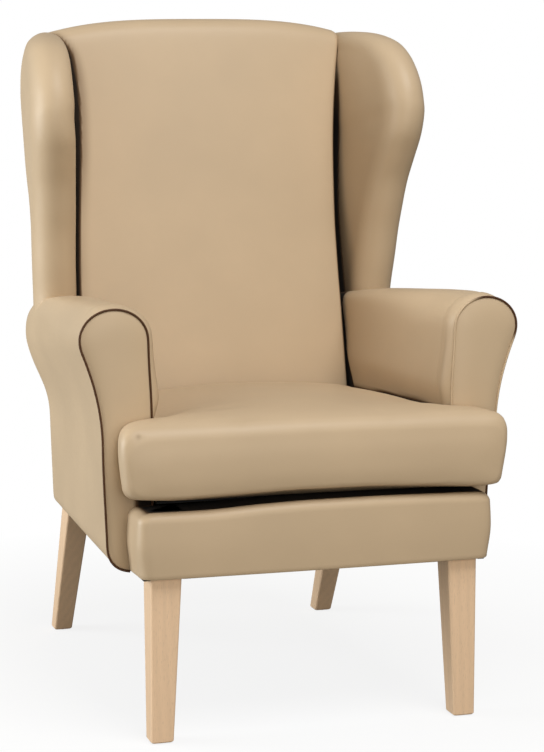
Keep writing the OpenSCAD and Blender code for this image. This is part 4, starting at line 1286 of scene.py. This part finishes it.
class CHAIR_OT_frame_finish(bpy.types.Operator):
    """Give the legs, the frame and the fittings their finish"""
    bl_idname = "chair.frame_finish"
    bl_label = "Frame and fittings"

    def execute(self, context):
        beech = tuple(colours().beech)
        wood = tuple(colours().frame_wood)
        legs = grained_wood("lacquered_beech", beech, shade(beech, 0.84), 2, 0.34)
        finishes = {"steel": bright_metal("drawn_steel", (0.45, 0.45, 0.47), 0.3),
                    "zinc": bright_metal("zinc_plate", (0.6, 0.57, 0.45), 0.35),
                    "webbing": woven_cloth("black_webbing", (0.02, 0.02, 0.02), 0.0016),
                    "plastic": moulded_plastic("glide_plastic", (0.06, 0.045, 0.03))}
        for axis, letter in enumerate("xyz"):
            finishes[letter] = grained_wood(f"frame_wood_{letter}", wood, shade(wood, 0.7), axis,
                                            0.6, 1.4)
        kinds = {
            "x": ("front_seat_rail", "rear_seat_rail", "back_top_rail", "back_lower_rail",
                  "corner_blocks"),
            "y": ("side_seat_rail_left", "side_seat_rail_right", "arm_rail_left", "arm_rail_right",
                  "wing_board_left", "wing_board_right"),
            "z": ("back_post_left", "back_post_right", "arm_stump_left", "arm_stump_right"),
            "steel": ("leg_bolts", "seat_springs", "block_screws"),
            "zinc": ("insert_nuts", "spring_clips"),
            "webbing": ("back_webbing",),
            "plastic": ("leg_glides",)}
        for kind, names in kinds.items():
            for name in names:
                give(name, finishes[kind])
        for name in ("front_leg_left", "front_leg_right", "rear_leg_left", "rear_leg_right"):
            give(name, legs)
        return {"FINISHED"}


def give(node, material):
    """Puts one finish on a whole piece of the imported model."""
    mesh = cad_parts[node].data
    if not mesh.materials:
        mesh.materials.append(material)
    for k in range(len(mesh.materials)):
        mesh.materials[k] = material


# The camera, worked out from the photograph's own perspective
CAMERA_PLACE = (-0.9266, -3.0725, 0.8993)
CAMERA_TURN, CAMERA_DOWN, CAMERA_ROLL = math.radians(-17.47), math.radians(7.16), math.radians(0.17)
CAMERA_LENS = 93.76
CAMERA_SHIFT = (0.00106, -0.00226)
# What the lamps are aimed at, and half the floor's width, in metres
LAMP_AIM = (0, 0, 0.5)
FLOOR_HALF_W = 9


class CHAIR_OT_stage(bpy.types.Operator):
    """Make the floor, the lamps and the camera"""
    bl_idname = "chair.stage"
    bl_label = "Stage"

    def execute(self, context):
        scene = context.scene
        scene.view_settings.view_transform = "Standard"
        a, e, r = CAMERA_TURN, CAMERA_DOWN, CAMERA_ROLL
        back = Vector((math.sin(a) * math.cos(e), -math.cos(a) * math.cos(e), math.sin(e)))
        right = Vector((math.cos(a), math.sin(a), 0))
        up = back.cross(right)
        right, up = right * math.cos(r) + up * math.sin(r), up * math.cos(r) - right * math.sin(r)
        camera = bpy.data.cameras.new("camera")
        camera.lens, camera.sensor_width, camera.sensor_height = CAMERA_LENS, 36, 36
        camera.sensor_fit = "AUTO"
        camera.shift_x, camera.shift_y = CAMERA_SHIFT
        camera.clip_end = 50
        viewer = bpy.data.objects.new("camera", camera)
        attitude = Matrix((right, up, back)).transposed().to_4x4()
        viewer.matrix_world = Matrix.Translation(CAMERA_PLACE) @ attitude
        scene.collection.objects.link(viewer)
        scene.camera = viewer

        lamp("left_softbox", (-3.0, 0.6, 1.0), 1.8, 86, (0.94, 0.98, 1))
        lamp("top_softbox", (0.3, -1.7, 3.3), 1.8, 72, (0.98, 0.99, 1))
        lamp("front_softbox", (-0.2, -3.3, 1.0), 1.6, 28, (1, 0.97, 0.90))
        scene.world = studio_world()

        bm = bmesh.new()
        bmesh.ops.create_grid(bm, x_segments=1, y_segments=1, size=FLOOR_HALF_W)
        mesh = bpy.data.meshes.new("floor")
        bm.to_mesh(mesh)
        bm.free()
        floor = bpy.data.objects.new("floor", mesh)
        scene.collection.objects.link(floor)
        mesh.materials.append(floor_paint())
        return {"FINISHED"}


def lamp(name, place, size, power, tint):
    """A square soft lamp, aimed at the middle of the chair."""
    light = bpy.data.lights.new(name, "AREA")
    light.shape, light.size, light.energy, light.color = "SQUARE", size, power, tint
    body = bpy.data.objects.new(name, light)
    aim = (Vector(LAMP_AIM) - Vector(place)).to_track_quat("-Z", "Y")
    body.matrix_world = Matrix.Translation(place) @ aim.to_matrix().to_4x4()
    body.visible_camera = False
    bpy.context.scene.collection.objects.link(body)


def studio_world():
    """A dim warm surround that the camera sees as plain white."""
    world = bpy.data.worlds.new("studio")
    world.use_nodes = True
    tree = world.node_tree
    ground = tree.nodes["Background"]
    seen, path, either, blend = (tree.nodes.new(f"ShaderNode{kind}") for kind in
                                 ("Background", "LightPath", "Math", "MixShader"))
    either.operation = "MAXIMUM"
    for node, tint, strength in ((ground, (1, 0.95, 0.86), 0.27), (seen, (1, 1, 1), 1.0)):
        node.inputs["Color"].default_value = (*tint, 1)
        node.inputs["Strength"].default_value = strength
    for source, target in ((path.outputs["Is Camera Ray"], either.inputs[0]),
                           (path.outputs["Is Transmission Ray"], either.inputs[1]),
                           (either.outputs[0], blend.inputs[0]),
                           (ground.outputs[0], blend.inputs[1]),
                           (seen.outputs[0], blend.inputs[2]),
                           (blend.outputs[0], tree.nodes["World Output"].inputs[0])):
        tree.links.new(source, target)
    return world


def floor_paint():
    """A pale floor that keeps the chair's shadow and fades to plain white farther out."""
    s = Shader("floor_paint")
    seen = s.node("ShaderNodeLightPath", output="Is Camera Ray")
    s.set(base_color=s.blend(seen, (0.33, 0.31, 0.28), (0.85, 0.85, 0.85)), roughness=0.9,
          specular_ior_level=0.0)
    where = s.node("ShaderNodeTexCoord", output="Object")
    away = s.node("ShaderNodeVectorMath", {"operation": "LENGTH"}, {0: where}, "Value")
    white = s.node("ShaderNodeEmission", {}, {"Color": (1, 1, 1), "Strength": 1.0})
    share = (away.clamped(0.5, 1.2) * 0.16 + 0.84) * seen
    both = s.node("ShaderNodeMixShader", {},
                  {0: share, 1: Socket(s, s.surface.outputs[0]), 2: white})
    s.tree.links.new(both.socket, s.tree.nodes["Material Output"].inputs[0])
    return s.material


class CHAIR_PT_panel(bpy.types.Panel):
    """The chair's pieces in the sidebar"""
    bl_label = "Fireside chair"
    bl_idname = "CHAIR_PT_panel"
    bl_space_type = "VIEW_3D"
    bl_region_type = "UI"
    bl_category = "Fireside chair"

    def draw(self, context):
        for group in (context.scene.chair_sizes, context.scene.chair_colours):
            for key in group.bl_rna.properties.keys():
                if key not in ("rna_type", "name"):
                    self.layout.prop(group, key)
        for operator in OPERATORS:
            self.layout.operator(operator.bl_idname)


OPERATORS = (CHAIR_OT_seat_cushion, CHAIR_OT_seat_border, CHAIR_OT_arms, CHAIR_OT_arm_fronts,
             CHAIR_OT_arm_piping, CHAIR_OT_wings, CHAIR_OT_inside_back, CHAIR_OT_outside_back,
             CHAIR_OT_seat_deck, CHAIR_OT_dust_cover, CHAIR_OT_zip, CHAIR_OT_frame_finish,
             CHAIR_OT_stage)
CLASSES = (ChairSizes, ChairColours, *OPERATORS, CHAIR_PT_panel)


def register():
    for c in CLASSES:
        bpy.utils.register_class(c)
    bpy.types.Scene.chair_sizes = bpy.props.PointerProperty(type=ChairSizes)
    bpy.types.Scene.chair_colours = bpy.props.PointerProperty(type=ChairColours)


def unregister():
    del bpy.types.Scene.chair_colours, bpy.types.Scene.chair_sizes
    for c in reversed(CLASSES):
        bpy.utils.unregister_class(c)


def main():
    register()
    for operator in OPERATORS:
        group, name = operator.bl_idname.split(".")
        getattr(getattr(bpy.ops, group), name)()


if __name__ == "__main__":
    main()
